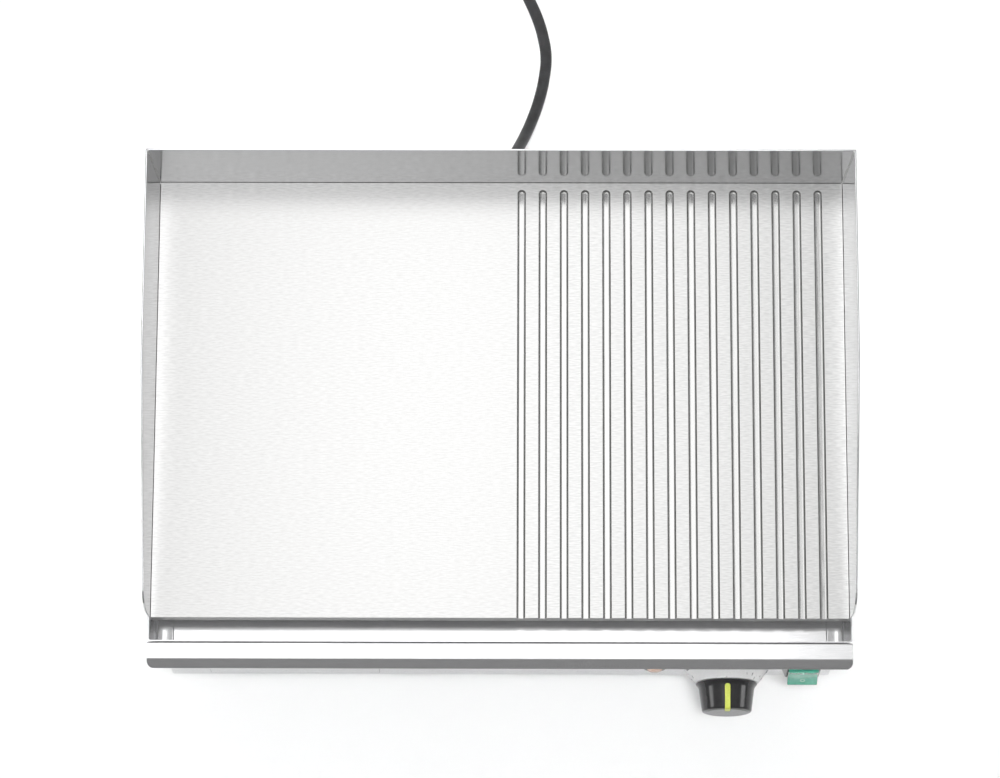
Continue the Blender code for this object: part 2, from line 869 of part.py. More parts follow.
def add_switch():
    base_x, base_z = 16.2 * MM, 20 * MM
    front_x, front_z = 13.1 * MM, 17 * MM
    depths = (PANEL_FACE - GAP, PANEL_FACE - 5 * MM, PANEL_FACE - 9.4 * MM)
    sizes = ((base_x, base_z), (base_x - 1 * MM, base_z - 1 * MM), (front_x, front_z))
    rings = []
    for depth, (half_x, half_z) in zip(depths, sizes):
        corners = ((-1, -1), (1, -1), (1, 1), (-1, 1))
        rings.append(
            [at(SWITCH_X + i * half_x, depth, CONTROLS_Z + j * half_z) for i, j in corners]
        )
    housing = loft("switch_housing", rings, black_plastic())
    half_x, half_z = SWITCH_BOX_X / 2, SWITCH_BOX_Z / 2
    rear = box(
        "switch_rear",
        (SWITCH_X - half_x, SWITCH_X + half_x),
        (PANEL_FACE - MM, PANEL_FACE + 22 * MM),
        (CONTROLS_Z - half_z, CONTROLS_Z + half_z),
        None,
    )
    join(housing, rear)
    hollow = box(
        "switch_hollow",
        (SWITCH_X - 12.1 * MM, SWITCH_X + 12.1 * MM),
        (PANEL_FACE - 15 * MM, PANEL_FACE + 8 * MM),
        (CONTROLS_Z - 15.2 * MM, CONTROLS_Z + 15.2 * MM),
        None,
    )
    cut(housing, hollow)
    neutral = (
        (8.2, 13.4),
        (6.6, 7),
        (6, 0),
        (6.6, -7),
        (8.2, -13.4),
        (-2, -14),
        (-8, -6),
        (-8, 6),
        (-2, 14),
    )
    outline = [tilted(u * MM, w * MM) for u, w in neutral]
    low, high = SWITCH_X - 11.7 * MM, SWITCH_X + 11.7 * MM
    rocker = prism("switch_rocker", outline, "X", low, high, switch_green())
    set_origin(rocker, at(SWITCH_X, SWITCH_PIVOT, CONTROLS_Z))


def add_limit_thermostat():
    """A safety cut-out behind the rear panel, with its reset button outside."""
    centre = at(LIMIT_X, BODY_BACK, CONTROLS_Z)
    body = [
        (0, -28 * MM),
        (11 * MM, -28 * MM),
        (11 * MM, -SHEET - GAP),
        (5 * MM, -SHEET - GAP),
        (5 * MM, 4.5 * MM),
        (3.4 * MM, 4.5 * MM),
        (3.4 * MM, -6 * MM),
        (0, -6 * MM),
    ]
    turned("limit_thermostat", body, centre, (0, 1, 0), black_plastic(), 20)
    button = turned("reset_button", rod(3 * MM, -3 * MM, 7 * MM), centre, (0, 1, 0), rubber(), 16)
    set_origin(button, centre)


# Drip tray


def add_drip_tray():
    wall = 1 * MM
    face_depth = (PANEL_FACE, PANEL_FACE + SHEET)
    tray = box(
        "drip_tray",
        (TRAY_LEFT, TRAY_RIGHT),
        (PANEL_FACE + SHEET / 2, TRAY_BACK),
        (TRAY_BOTTOM, TRAY_TOP),
        stainless(),
    )
    face = box(
        "tray_face",
        (TRAY_LEFT - TRAY_FACE_MARGIN, TRAY_RIGHT + TRAY_FACE_MARGIN),
        face_depth,
        (TRAY_BOTTOM - TRAY_FACE_DROP, TRAY_TOP + TRAY_FACE_RISE),
        None,
    )
    join(tray, face)
    hollow = box(
        "tray_hollow",
        (TRAY_LEFT + wall, TRAY_RIGHT - wall),
        (PANEL_FACE + SHEET + wall, TRAY_BACK - wall),
        (TRAY_BOTTOM + wall, TRAY_TOP + 10 * MM),
        None,
    )
    cut(tray, hollow)
    middle = at((TRAY_LEFT + TRAY_RIGHT) / 2, PANEL_FACE, TRAY_TOP + TRAY_FACE_RISE)
    notch = turned("tray_notch", rod(13 * MM, -5 * MM, 8 * MM), middle, (0, 1, 0), None, 24)
    cut(tray, notch)


def add_tray_rail(name, edge, inward):
    """A Z-shaped rail: its foot on the base pan, its ledge under the tray's edge."""
    low = BODY_BOTTOM + SIDE_SHEET * 3 + 2 * GAP + 0.5 * MM
    ledge = TRAY_BOTTOM - GAP - 0.5 * MM
    wall = edge - inward * 1.8 * MM
    path = [
        (wall - inward * 6 * MM, low),
        (wall, low),
        (wall, ledge),
        (edge + inward * 6 * MM, ledge),
    ]
    prism(name, sheet_outline(path, MM), "Y", 2 * MM, TRAY_BACK, galvanised())


# Heating


def add_heating_element(name, side):
    """A serpentine of four runs whose two ends turn down at the rear."""
    height = PLATE_TOP - PLATE_THICKNESS - GAP - ELEMENT_RADIUS
    terminal_depth = ELEMENT_REAR + 15 * MM
    terminal_z = 141 * MM
    first, second, third, fourth = [side * x for x in ELEMENT_RUNS]
    points = [
        at(first, terminal_depth, terminal_z),
        at(first, terminal_depth, height),
        at(first, ELEMENT_FRONT, height),
        at(second, ELEMENT_FRONT, height),
        at(second, ELEMENT_REAR, height),
        at(third, ELEMENT_REAR, height),
        at(third, ELEMENT_FRONT, height),
        at(fourth, ELEMENT_FRONT, height),
        at(fourth, terminal_depth, height),
        at(fourth, terminal_depth, terminal_z),
    ]
    tube(name, rounded_route(points, 12 * MM, 4), ELEMENT_RADIUS, element_steel(), sides=1)


def add_clamp(place, depth):
    top = PLATE_TOP - PLATE_THICKNESS - 2 * GAP - 2 * ELEMENT_RADIUS
    bar_height = 3 * MM
    bar = box(
        f"clamp_bar_{place}",
        (-233 * MM, 233 * MM),
        (depth - 9 * MM, depth + 9 * MM),
        (top - bar_height, top),
        galvanised(),
    )
    for side, word in ((-1, "left"), (1, "right")):
        centre = at(side * STUD_X, depth, 0)
        up = (0, 0, 1)
        hole = rod(3.4 * MM, top - 2 * bar_height, top + bar_height)
        cut(bar, turned(f"clamp_hole_{place}_{word}", hole, centre, up, None, 12))
        stud = rod(3 * MM, 143.3 * MM, PLATE_TOP - PLATE_THICKNESS - GAP)
        turned(f"clamp_stud_{place}_{word}", stud, centre, up, galvanised(), 12)
        nut_at = centre + Vector((0, 0, top - bar_height - GAP - 5 * MM))
        hex_ring(f"clamp_nut_{place}_{word}", 3.3 * MM, 10 * MM, nut_at, up, 5 * MM, galvanised())


def add_insulation():
    box(
        "insulation_blanket",
        (-235 * MM, 235 * MM),
        (45 * MM, 305 * MM),
        (117 * MM, 137 * MM),
        ceramic_wool(),
    )
    low = 115.5 * MM
    shield = box("heat_shield", (-237 * MM, 237 * MM), (43 * MM, 307 * MM), (low, 128 * MM), galvanised())
    hollow = box(
        "shield_hollow",
        (-236 * MM, 236 * MM),
        (44 * MM, 306 * MM),
        (low + MM, 140 * MM),
        None,
    )
    cut(shield, hollow)


# Feet


def add_foot(place, word, side, depth):
    centre = at(side * FOOT_X, depth, 0)
    up = (0, 0, 1)
    pad = [
        (0, 0),
        (18 * MM, 0),
        (19 * MM, 2 * MM),
        (16 * MM, 27 * MM),
        (14.5 * MM, 29 * MM),
        (4.4 * MM, 29 * MM),
        (4.4 * MM, 18 * MM),
        (0, 18 * MM),
    ]
    turned(f"foot_pad_{place}_{word}", pad, centre, up, rubber(), 24)
    stem = rod(4 * MM, 18.4 * MM, 62 * MM)
    obj = turned(f"foot_stem_{place}_{word}", stem, centre, up, galvanised(), 12)
    collar = turned(
        f"foot_collar_{place}_{word}", rod(7.5 * MM, 29.4 * MM, 35 * MM), centre, up, None, 6
    )
    join(obj, collar)


# Mains cord


def add_gland():
    centre = at(CORD_EXIT.x, BODY_BACK, CORD_EXIT.z)
    back = (0, 1, 0)
    relief = [
        (0, -9 * MM),
        (8 * MM, -9 * MM),
        (8 * MM, GAP),
        (12 * MM, GAP),
        (12 * MM, 3.5 * MM),
        (9.2 * MM, 5 * MM),
        (6.2 * MM, 29 * MM),
        (5.6 * MM, 29.8 * MM),
        (0, 29.8 * MM),
    ]
    turned("strain_relief", relief, centre, back, rubber(), 24)
    nut_at = centre + Vector((0, -SHEET - GAP - 5.5 * MM, 0))
    hex_ring("gland_nut", 8.3 * MM, 22 * MM, nut_at, back, 5.5 * MM, black_plastic())


def add_terminal_block():
    block = box(
        "terminal_block",
        (-22 * MM, 26 * MM),
        (272 * MM, 292 * MM),
        (48 * MM, 66 * MM),
        ceramic(),
    )
    up = (0, 0, 1)
    for index in range(3):
        for depth in (277 * MM, 287 * MM):
            centre = at((-12 + 14 * index) * MM, depth, 66 * MM)
            well = rod(2.6 * MM, -8 * MM, 5 * MM)
            name = f"terminal_well_{index}_{round(depth / MM)}"
            cut(block, turned(name, well, centre, up, None, 10))


def add_power_cord():
    points = [at(x * MM, depth * MM, z * MM) for x, depth, z in CORD_ROUTE]
    tube("power_cord", smooth_route(points, 12 * MM), CORD_RADIUS, rubber(), sides=2)


def add_coil():
    centre = at(COIL_CENTRE.x, COIL_CENTRE.y, 0)
    edge = 3 * MM
    profile = [
        (COIL_INNER, COIL_BOTTOM + edge),
        (COIL_INNER + edge, COIL_BOTTOM),
        (COIL_OUTER - edge, COIL_BOTTOM),
        (COIL_OUTER, COIL_BOTTOM + edge),
        (COIL_OUTER, COIL_TOP - edge),
        (COIL_OUTER - edge, COIL_TOP),
        (COIL_INNER + edge, COIL_TOP),
        (COIL_INNER, COIL_TOP - edge),
    ]
    turned("cord_coil", profile, centre, (0, 0, 1), rubber(), 32, ring=True)
    tie = box(
        "cord_tie",
        (COIL_CENTRE.x - COIL_OUTER - 2 * MM, COIL_CENTRE.x - COIL_INNER + 2 * MM),
        (COIL_CENTRE.y - 5 * MM, COIL_CENTRE.y + 5 * MM),
        (0.1 * MM, COIL_TOP + 1.6 * MM),
        black_plastic(),
    )
    hollow = box(
        "tie_hollow",
        (COIL_CENTRE.x - COIL_OUTER - 0.5 * MM, COIL_CENTRE.x - COIL_INNER + 0.7 * MM),
        (COIL_CENTRE.y - 10 * MM, COIL_CENTRE.y + 10 * MM),
        (COIL_BOTTOM - 0.35 * MM, COIL_TOP + 0.4 * MM),
        None,
    )
    cut(tie, hollow)


def add_plug():
    """A round two-pin plug on its side, its boot towards the coil."""
    depth = COIL_CENTRE.y + (COIL_OUTER - CORD_RADIUS)
    centre = at(PLUG_START_X, depth, PLUG_AXIS_Z)
    away = (-1, 0, 0)
    profile = [
        (0, 0),
        (6 * MM, 0),
        (8.5 * MM, 17 * MM),
        (14 * MM, 20 * MM),
        (17 * MM, 26 * MM),
        (18.5 * MM, 34 * MM),
        (18.5 * MM, 53 * MM),
        (17.7 * MM, 54 * MM),
        (0, 54 * MM),
    ]
    turned("mains_plug", profile, centre, away, rubber(), 24)
    for word, side in (("front", -1), ("rear", 1)):
        base = centre + Vector((0, side * 9.5 * MM, 0))
        pin = [(0, 54.3 * MM), (2.4 * MM, 54.3 * MM), (2.4 * MM, 72 * MM), (0, 73.3 * MM)]
        turned(f"plug_pin_{word}", pin, base, away, brass(), 12)


def build():
    clear_scene()
    add_griddle_plate()
    add_splash_back()
    add_splash_side("splash_left", -1)
    add_splash_side("splash_right", 1)
    add_grease_gutter()
    add_drain_pipe()
    add_front_rim()
    add_control_panel()
    add_side_panel("left_side_panel", -1)
    add_side_panel("right_side_panel", 1)
    add_rear_panel()
    add_base_pan()
    add_pilot_lamp()
    add_dial_ring()
    add_knob()
    add_thermostat()
    add_thermostat_bulb()
    add_switch()
    add_limit_thermostat()
    add_drip_tray()
    add_tray_rail("tray_rail_left", TRAY_LEFT, 1)
    add_tray_rail("tray_rail_right", TRAY_RIGHT, -1)
    add_heating_element("heating_element_left", -1)
    add_heating_element("heating_element_right", 1)
    for place, depth in CLAMP_DEPTHS.items():
        add_clamp(place, depth)
    add_insulation()
    for place, depth in FOOT_DEPTHS.items():
        add_foot(place, "left", -1, depth)
        add_foot(place, "right", 1, depth)
    add_gland()
    add_terminal_block()
    add_power_cord()
    add_coil()
    add_plug()


build()
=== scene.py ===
"""The looks of the flat top griddle: fine meshes, materials, mains cord, camera and studio.

Metres, +Z up, front faces -Y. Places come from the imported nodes. A depth is counted
from the griddle plate's front edge, towards the rear.
"""

import math
from functools import cache

import bmesh
import bpy
from mathutils import Matrix, Vector


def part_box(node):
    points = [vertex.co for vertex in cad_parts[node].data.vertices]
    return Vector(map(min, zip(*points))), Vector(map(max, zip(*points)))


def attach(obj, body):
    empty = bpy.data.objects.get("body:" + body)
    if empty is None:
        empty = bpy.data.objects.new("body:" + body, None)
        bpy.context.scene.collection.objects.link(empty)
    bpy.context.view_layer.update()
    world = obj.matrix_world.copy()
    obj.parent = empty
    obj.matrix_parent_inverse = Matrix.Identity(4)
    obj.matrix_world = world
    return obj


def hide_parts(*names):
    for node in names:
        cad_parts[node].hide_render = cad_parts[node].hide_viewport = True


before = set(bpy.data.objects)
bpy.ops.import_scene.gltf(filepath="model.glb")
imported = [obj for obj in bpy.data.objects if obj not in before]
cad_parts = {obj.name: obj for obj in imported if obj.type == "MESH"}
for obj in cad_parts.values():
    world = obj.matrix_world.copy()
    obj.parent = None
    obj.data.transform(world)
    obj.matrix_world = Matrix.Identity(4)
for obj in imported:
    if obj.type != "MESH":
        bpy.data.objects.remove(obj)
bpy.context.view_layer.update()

MM = 0.001
UP = (0, 0, 1)
FORWARD = (0, -1, 0)
BACKWARD = (0, 1, 0)
LEFTWARD = (-1, 0, 0)

plate_low, plate_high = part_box("griddle_plate")
panel_low, panel_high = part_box("control_panel")

PLATE_FRONT = plate_low.y
PLATE_TOP = plate_high.z
PANEL_FACE = panel_low.y
BODY_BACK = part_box("rear_panel")[1].y
PLUG_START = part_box("mains_plug")[1].x
TOP = PLATE_TOP / MM
FACE = (PANEL_FACE - PLATE_FRONT) / MM
BACK = (BODY_BACK - PLATE_FRONT) / MM


def middle(node):
    low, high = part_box(node)
    return (low + high) / 2


CONTROLS_Z = middle("pilot_lamp_bezel").z
LAMP_X = middle("pilot_lamp_bezel").x
KNOB_X = middle("knob").x
SWITCH_X = middle("switch_housing").x
COIL_CENTRE = middle("cord_coil")


def at(x, depth, z):
    """A point from millimetres: across, behind the plate's front edge, above the table."""
    return Vector((x * MM, PLATE_FRONT + depth * MM, z * MM))


def depth_of(place):
    return (place.y - PLATE_FRONT) / MM


# Camera

LENS = 157.36
LOOK_FORWARD = 14.53
LOOK_SIDEWAYS = 0.36
CAMERA_ROLL = 0.11
CAMERA_X = 0.021
CAMERA_AHEAD = 0.6731
CAMERA_ABOVE = 3.2996


def add_camera():
    """The camera stands in front and looks down, a little off the vertical."""
    data = bpy.data.cameras.new("camera")
    data.lens = LENS
    data.sensor_width = 36
    data.clip_start = 0.1
    data.clip_end = 100
    camera = bpy.data.objects.new("camera", data)
    bpy.context.scene.collection.objects.link(camera)
    tilt = Matrix.Rotation(math.radians(LOOK_FORWARD), 4, "X")
    yaw = Matrix.Rotation(math.radians(LOOK_SIDEWAYS), 4, "Y")
    roll = Matrix.Rotation(math.radians(CAMERA_ROLL), 4, "Z")
    place = Vector((CAMERA_X, PLATE_FRONT - CAMERA_AHEAD, PLATE_TOP + CAMERA_ABOVE))
    camera.matrix_world = Matrix.Translation(place) @ tilt @ yaw @ roll
    bpy.context.scene.camera = camera


# Studio

PAPER_RADIUS = 14
PAPER_DROP = 0.0002
POOL_SPREAD = 16


def add_world():
    """A soft dome: brighter above and behind, darker towards the front."""
    world = bpy.data.worlds.new("studio")
    bpy.context.scene.world = world
    world.use_nodes = True
    tree = world.node_tree
    background = tree.nodes["Background"]
    background.inputs["Color"].default_value = (1, 1, 1, 1)
    direction = tree.nodes.new("ShaderNodeTexCoord")
    lean = tree.nodes.new("ShaderNodeVectorMath")
    lean.operation = "DOT_PRODUCT"
    lean.inputs[1].default_value = (-0.04, 0.1, 0.26)
    level = tree.nodes.new("ShaderNodeMath")
    level.operation = "ADD"
    level.inputs[1].default_value = 0.24
    tree.links.new(direction.outputs["Generated"], lean.inputs[0])
    tree.links.new(lean.outputs["Value"], level.inputs[0])
    tree.links.new(level.outputs["Value"], background.inputs["Strength"])


def add_softbox(name, place, target, size, power):
    """A panel of light, which metal and gloss mirror and the camera doesn't see."""
    data = bpy.data.lights.new(name, "AREA")
    data.shape = "RECTANGLE"
    data.size, data.size_y = size
    data.energy = power
    light = bpy.data.objects.new(name, data)
    light.location = place
    aim = Vector(target) - Vector(place)
    light.rotation_euler = aim.to_track_quat("-Z", "Y").to_euler()
    light.visible_camera = False
    bpy.context.scene.collection.objects.link(light)
    return light


def add_studio():
    """Boxes overhead for the metal, panels beside it for the knob's gloss, a pool for the paper."""
    add_world()
    add_softbox("softbox_rear", (-0.1, 0.9, 3.1), (-0.1, 0.9, 0), size=(1.06, 1.9), power=9.2)
    add_softbox("softbox_front", (-0.52, -1.0, 3.1), (-0.52, -1.0, 0), size=(1.1, 1.7), power=4.4)
    for word, x, z in (("left", -2.1, 0.85), ("right", 2.1, 0.7)):
        panel = add_softbox(f"strip_{word}", (x, -0.3, z), (0.177, -0.19, 0.1), size=(0.6, 0.75), power=5)
        panel.visible_diffuse = False
    pool = add_softbox("paper_pool", (0, -0.62, 3.4), (0, 0.15, 0), size=(1.4, 1.0), power=3.9)
    pool.data.spread = math.radians(POOL_SPREAD)
    pool.visible_glossy = False
    bpy.context.scene.view_settings.view_transform = "Standard"


def add_floor():
    bm = bmesh.new()
    bmesh.ops.create_circle(bm, cap_ends=True, segments=64, radius=PAPER_RADIUS)
    mesh = bpy.data.meshes.new("studio_floor")
    bm.to_mesh(mesh)
    bm.free()
    floor = bpy.data.objects.new("studio_floor", mesh)
    floor.location.z = -PAPER_DROP
    bpy.context.scene.collection.objects.link(floor)
    mesh.materials.append(floor_paint().material)


# Materials


class Paint:
    """A Principled BSDF and the nodes that feed it."""

    def __init__(self, name, metallic=0.0, specular=0.5):
        self.material = bpy.data.materials.new(name)
        self.material.use_nodes = True
        self.tree = self.material.node_tree
        self.shader = self.tree.nodes["Principled BSDF"]
        self.shader.inputs["Metallic"].default_value = metallic
        self.shader.inputs["Specular IOR Level"].default_value = specular
        self.place = self.add("ShaderNodeTexCoord").outputs["Object"]

    def add(self, kind):
        return self.tree.nodes.new(kind)

    def link(self, output, target):
        self.tree.links.new(output, target)

    def set(self, **values):
        for name, value in values.items():
            self.shader.inputs[name.replace("_", " ")].default_value = value

    def noise(self, scale, detail=3.0, stretch=(1, 1, 1)):
        """Noise with features about 1 / scale metres long, divided by stretch."""
        mapping = self.add("ShaderNodeMapping")
        mapping.inputs["Scale"].default_value = [scale * s for s in stretch]
        texture = self.add("ShaderNodeTexNoise")
        texture.inputs["Scale"].default_value = 1
        texture.inputs["Detail"].default_value = detail
        self.link(self.place, mapping.inputs["Vector"])
        self.link(mapping.outputs["Vector"], texture.inputs["Vector"])
        return texture.outputs["Fac"]

    def cells(self, scale):
        texture = self.add("ShaderNodeTexVoronoi")
        texture.inputs["Scale"].default_value = scale
        self.link(self.place, texture.inputs["Vector"])
        return texture.outputs["Color"]

    def colour(self, value, low, high):
        """The base colour goes from low to high as the value goes from 0.3 to 0.7."""
        ramp = self.add("ShaderNodeValToRGB")
        ramp.color_ramp.elements[0].position = 0.3
        ramp.color_ramp.elements[0].color = (*low, 1)
        ramp.color_ramp.elements[1].position = 0.7
        ramp.color_ramp.elements[1].color = (*high, 1)
        self.link(value, ramp.inputs["Fac"])
        self.link(ramp.outputs["Color"], self.shader.inputs["Base Color"])

    def roughness(self, value, low, high):
        spread = self.add("ShaderNodeMapRange")
        spread.inputs["From Min"].default_value = 0.3
        spread.inputs["From Max"].default_value = 0.7
        spread.inputs["To Min"].default_value = low
        spread.inputs["To Max"].default_value = high
        self.link(value, spread.inputs["Value"])
        self.link(spread.outputs["Result"], self.shader.inputs["Roughness"])

    def bump(self, value, strength, distance):
        bump = self.add("ShaderNodeBump")
        bump.inputs["Strength"].default_value = strength
        bump.inputs["Distance"].default_value = distance
        self.link(value, bump.inputs["Height"])
        self.link(bump.outputs["Normal"], self.shader.inputs["Normal"])

    def surface(self, value, colours, roughness, bump=None, patches=None):
        """One value drives the colour, the bump and, without patches, the roughness."""
        self.colour(value, *colours)
        self.roughness(value if patches is None else patches, *roughness)
        if bump:
            self.bump(value, *bump)
        return self


GRAINS = {"X": (0.06, 1, 1), "Y": (1, 0.06, 1)}


@cache
def floor_paint():
    paint = Paint("floor_paper", specular=0.2)
    cloud = paint.noise(1.5)
    return paint.surface(cloud, ((0.93, 0.93, 0.93), (0.96, 0.96, 0.96)), (0.75, 0.85))


@cache
def plate_steel():
    """Ground steel, its short fine streaks running across the plate."""
    paint = Paint("plate_steel", metallic=1)
    streaks = paint.noise(1000, 4, (0.17, 1, 1))
    return paint.surface(streaks, ((0.6, 0.6, 0.595), (0.79, 0.79, 0.785)), (0.28, 0.34), (0.14, 0.00003))


@cache
def groove_steel():
    """The grooves as the cutter leaves them: smooth, with faint lines along them."""
    paint = Paint("groove_steel", metallic=1)
    lines = paint.noise(900, 3, GRAINS["Y"])
    return paint.surface(lines, ((0.5, 0.5, 0.495), (0.58, 0.58, 0.575)), (0.1, 0.18), (0.08, 0.00003))


@cache
def cut_steel():
    """The plate's sawn front edge, duller than its top."""
    paint = Paint("cut_steel", metallic=1)
    marks = paint.noise(700, 4, (1, 1, 0.2))
    return paint.surface(marks, ((0.5, 0.5, 0.495), (0.62, 0.62, 0.615)), (0.42, 0.56), (0.15, 0.00005))


@cache
def stainless(grain):
    """Satin sheet, its grain along one axis."""
    paint = Paint("stainless_" + grain.lower(), metallic=1)
    streaks = paint.noise(1300, 3, GRAINS[grain])
    patches = paint.noise(20, 3)
    colours = (0.77, 0.773, 0.78), (0.86, 0.863, 0.87)
    return paint.surface(streaks, colours, (0.18, 0.25), (0.06, 0.00003), patches)


@cache
def bright_stainless(grain):
    """The splash guard, which mirrors what is near it."""
    paint = Paint("bright_stainless_" + grain.lower(), metallic=1)
    streaks = paint.noise(1500, 3, GRAINS[grain])
    patches = paint.noise(25, 3)
    colours = (0.71, 0.712, 0.72), (0.78, 0.782, 0.79)
    return paint.surface(streaks, colours, (0.1, 0.15), (0.04, 0.00002), patches)


@cache
def gutter_stainless():
    """The trough, duller than the guard from wiping and grease."""
    paint = Paint("gutter_stainless", metallic=0.86)
    streaks = paint.noise(1000, 3, GRAINS["X"])
    patches = paint.noise(30, 3)
    colours = (0.7, 0.702, 0.71), (0.79, 0.792, 0.8)
    return paint.surface(streaks, colours, (0.12, 0.18), (0.06, 0.00003), patches)


@cache
def weld_steel():
    paint = Paint("weld_steel", metallic=1)
    ripple = paint.noise(900, 3)
    return paint.surface(ripple, ((0.66, 0.66, 0.66), (0.8, 0.8, 0.79)), (0.2, 0.35), (0.25, 0.0001))


@cache
def galvanised():
    """Zinc with its flat crystal flakes."""
    paint = Paint("galvanised", metallic=1)
    flakes = paint.cells(160)
    paint.colour(flakes, (0.46, 0.48, 0.49), (0.62, 0.64, 0.65))
    paint.roughness(paint.noise(300), 0.38, 0.52)
    paint.bump(paint.noise(1200), 0.08, 0.00004)
    return paint


@cache
def element_steel():
    paint = Paint("element_steel", metallic=1)
    bloom = paint.noise(120, 4)
    paint.colour(bloom, (0.13, 0.14, 0.12), (0.27, 0.26, 0.25))
    paint.roughness(bloom, 0.42, 0.6)
    paint.bump(paint.noise(2500), 0.2, 0.00005)
    return paint


@cache
def ceramic_wool():
    paint = Paint("ceramic_wool", specular=0.1)
    fibres = paint.noise(420, 6, (1, 0.25, 0.6))
    return paint.surface(fibres, ((0.76, 0.75, 0.7), (0.92, 0.91, 0.87)), (0.9, 1.0), (0.8, 0.0008))


@cache
def ceramic():
    paint = Paint("ceramic")
    glaze = paint.noise(180)
    return paint.surface(glaze, ((0.8, 0.78, 0.72), (0.9, 0.885, 0.84)), (0.3, 0.45), (0.05, 0.0002))


@cache
def brass():
    paint = Paint("brass", metallic=1)
    tarnish = paint.noise(260, 4)
    paint.colour(tarnish, (0.68, 0.52, 0.25), (0.82, 0.67, 0.38))
    paint.roughness(tarnish, 0.2, 0.34)
    paint.bump(paint.noise(1800), 0.05, 0.00003)
    return paint


@cache
def plug_nickel():
    paint = Paint("plug_nickel", metallic=1)
    wear = paint.noise(500, 4, (0.2, 1, 1))
    return paint.surface(wear, ((0.66, 0.64, 0.6), (0.8, 0.78, 0.74)), (0.14, 0.26), (0.06, 0.00003))


@cache
def black_plastic():
    """Moulded plastic with a fine spark-eroded texture."""
    paint = Paint("black_plastic")
    texture = paint.noise(2600, 2)
    paint.colour(paint.noise(60), (0.014, 0.014, 0.015), (0.026, 0.026, 0.027))
    paint.roughness(texture, 0.13, 0.2)
    paint.bump(texture, 0.04, 0.00003)
    return paint


@cache
def rubber():
    paint = Paint("rubber", specular=0.4)
    texture = paint.noise(1900, 3)
    paint.colour(paint.noise(90), (0.026, 0.026, 0.027), (0.048, 0.048, 0.05))
    paint.roughness(texture, 0.42, 0.58)
    paint.bump(texture, 0.15, 0.00006)
    return paint


@cache
def silver_plastic():
    """The dial ring: satin metallised plastic."""
    paint = Paint("silver_plastic", metallic=0.25)
    sparkle = paint.noise(3200, 2)
    patches = paint.noise(200)
    colours = (0.7, 0.7, 0.7), (0.84, 0.84, 0.84)
    return paint.surface(sparkle, colours, (0.26, 0.36), (0.05, 0.00003), patches)


@cache
def pointer_green():
    paint = Paint("pointer_green")
    texture = paint.noise(1500, 2)
    return paint.surface(texture, ((0.5, 0.56, 0.07), (0.6, 0.66, 0.1)), (0.3, 0.42), (0.08, 0.00004))


@cache
def switch_green():
    """Clear green moulding with a polished face."""
    paint = Paint("switch_green", specular=0.7)
    depth = paint.noise(260)
    paint.colour(depth, (0.04, 0.33, 0.22), (0.08, 0.42, 0.3))
    paint.roughness(depth, 0.1, 0.18)
    paint.set(Coat_Weight=0.6, Coat_Roughness=0.08)
    paint.bump(paint.noise(900), 0.03, 0.00004)
    return paint


@cache
def switch_mark():
    paint = Paint("switch_mark")
    texture = paint.noise(1500)
    return paint.surface(texture, ((0.2, 0.48, 0.38), (0.28, 0.55, 0.45)), (0.3, 0.45))


@cache
def amber():
    paint = Paint("amber", specular=0.6)
    depth = paint.noise(400)
    paint.colour(depth, (0.86, 0.56, 0.44), (0.93, 0.69, 0.57))
    paint.roughness(depth, 0.1, 0.18)
    paint.set(Coat_Weight=0.8, Coat_Roughness=0.06, Transmission_Weight=0.15)
    paint.bump(paint.noise(700), 0.06, 0.0001)
    return paint


@cache
def dial_ink():
    paint = Paint("dial_ink", specular=0.3)
    texture = paint.noise(2400)
    return paint.surface(texture, ((0.05, 0.05, 0.055), (0.09, 0.09, 0.095)), (0.5, 0.65))


SLOT_PAINTS = (
    plate_steel,
    galvanised,
    element_steel,
    ceramic_wool,
    ceramic,
    brass,
    black_plastic,
    amber,
    silver_plastic,
    pointer_green,
    switch_green,
    rubber,
)


def paint_nodes():
    """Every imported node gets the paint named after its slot, or else stainless."""
    paints = {make.__name__: make for make in SLOT_PAINTS}
    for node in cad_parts.values():
        slot = node.data.materials[0].name
        paint = paints[slot]() if slot in paints else stainless("X")
        node.data.materials.clear()
        node.data.materials.append(paint.material)


# Mesh helpers


def loft(rings, closed=False):
    """Joins rings of points into a skin: capped at both ends, or joined end to start."""
    bm = bmesh.new()
    made = [[bm.verts.new(point) for point in ring] for ring in rings]
    pairs = list(zip(made, made[1:]))
    if closed:
        pairs.append((made[-1], made[0]))
    for near, far in pairs:
        for i in range(len(near)):
            j = (i + 1) % len(near)
            bm.faces.new((near[i], near[j], far[j], far[i]))
    if not closed:
        bm.faces.new(made[0])
        bm.faces.new(made[-1])
    return settled(bm)


def settled(bm):
    bmesh.ops.recalc_face_normals(bm, faces=bm.faces)
    return bm


def prism(outline, axis, start, end):
    """An outline extruded along X, Y (a depth) or Z; everything in millimetres."""
    if axis == "X":
        return loft([[at(along, a, b) for a, b in outline] for along in (start, end)])
    if axis == "Y":
        return loft([[at(a, along, b) for a, b in outline] for along in (start, end)])
    return loft([[at(a, b, along) for a, b in outline] for along in (start, end)])


def box(x, depth, z):
    """A box from three (low, high) pairs in millimetres."""
    outline = [(x[0], depth[0]), (x[1], depth[0]), (x[1], depth[1]), (x[0], depth[1])]
    return prism(outline, "Z", *z)


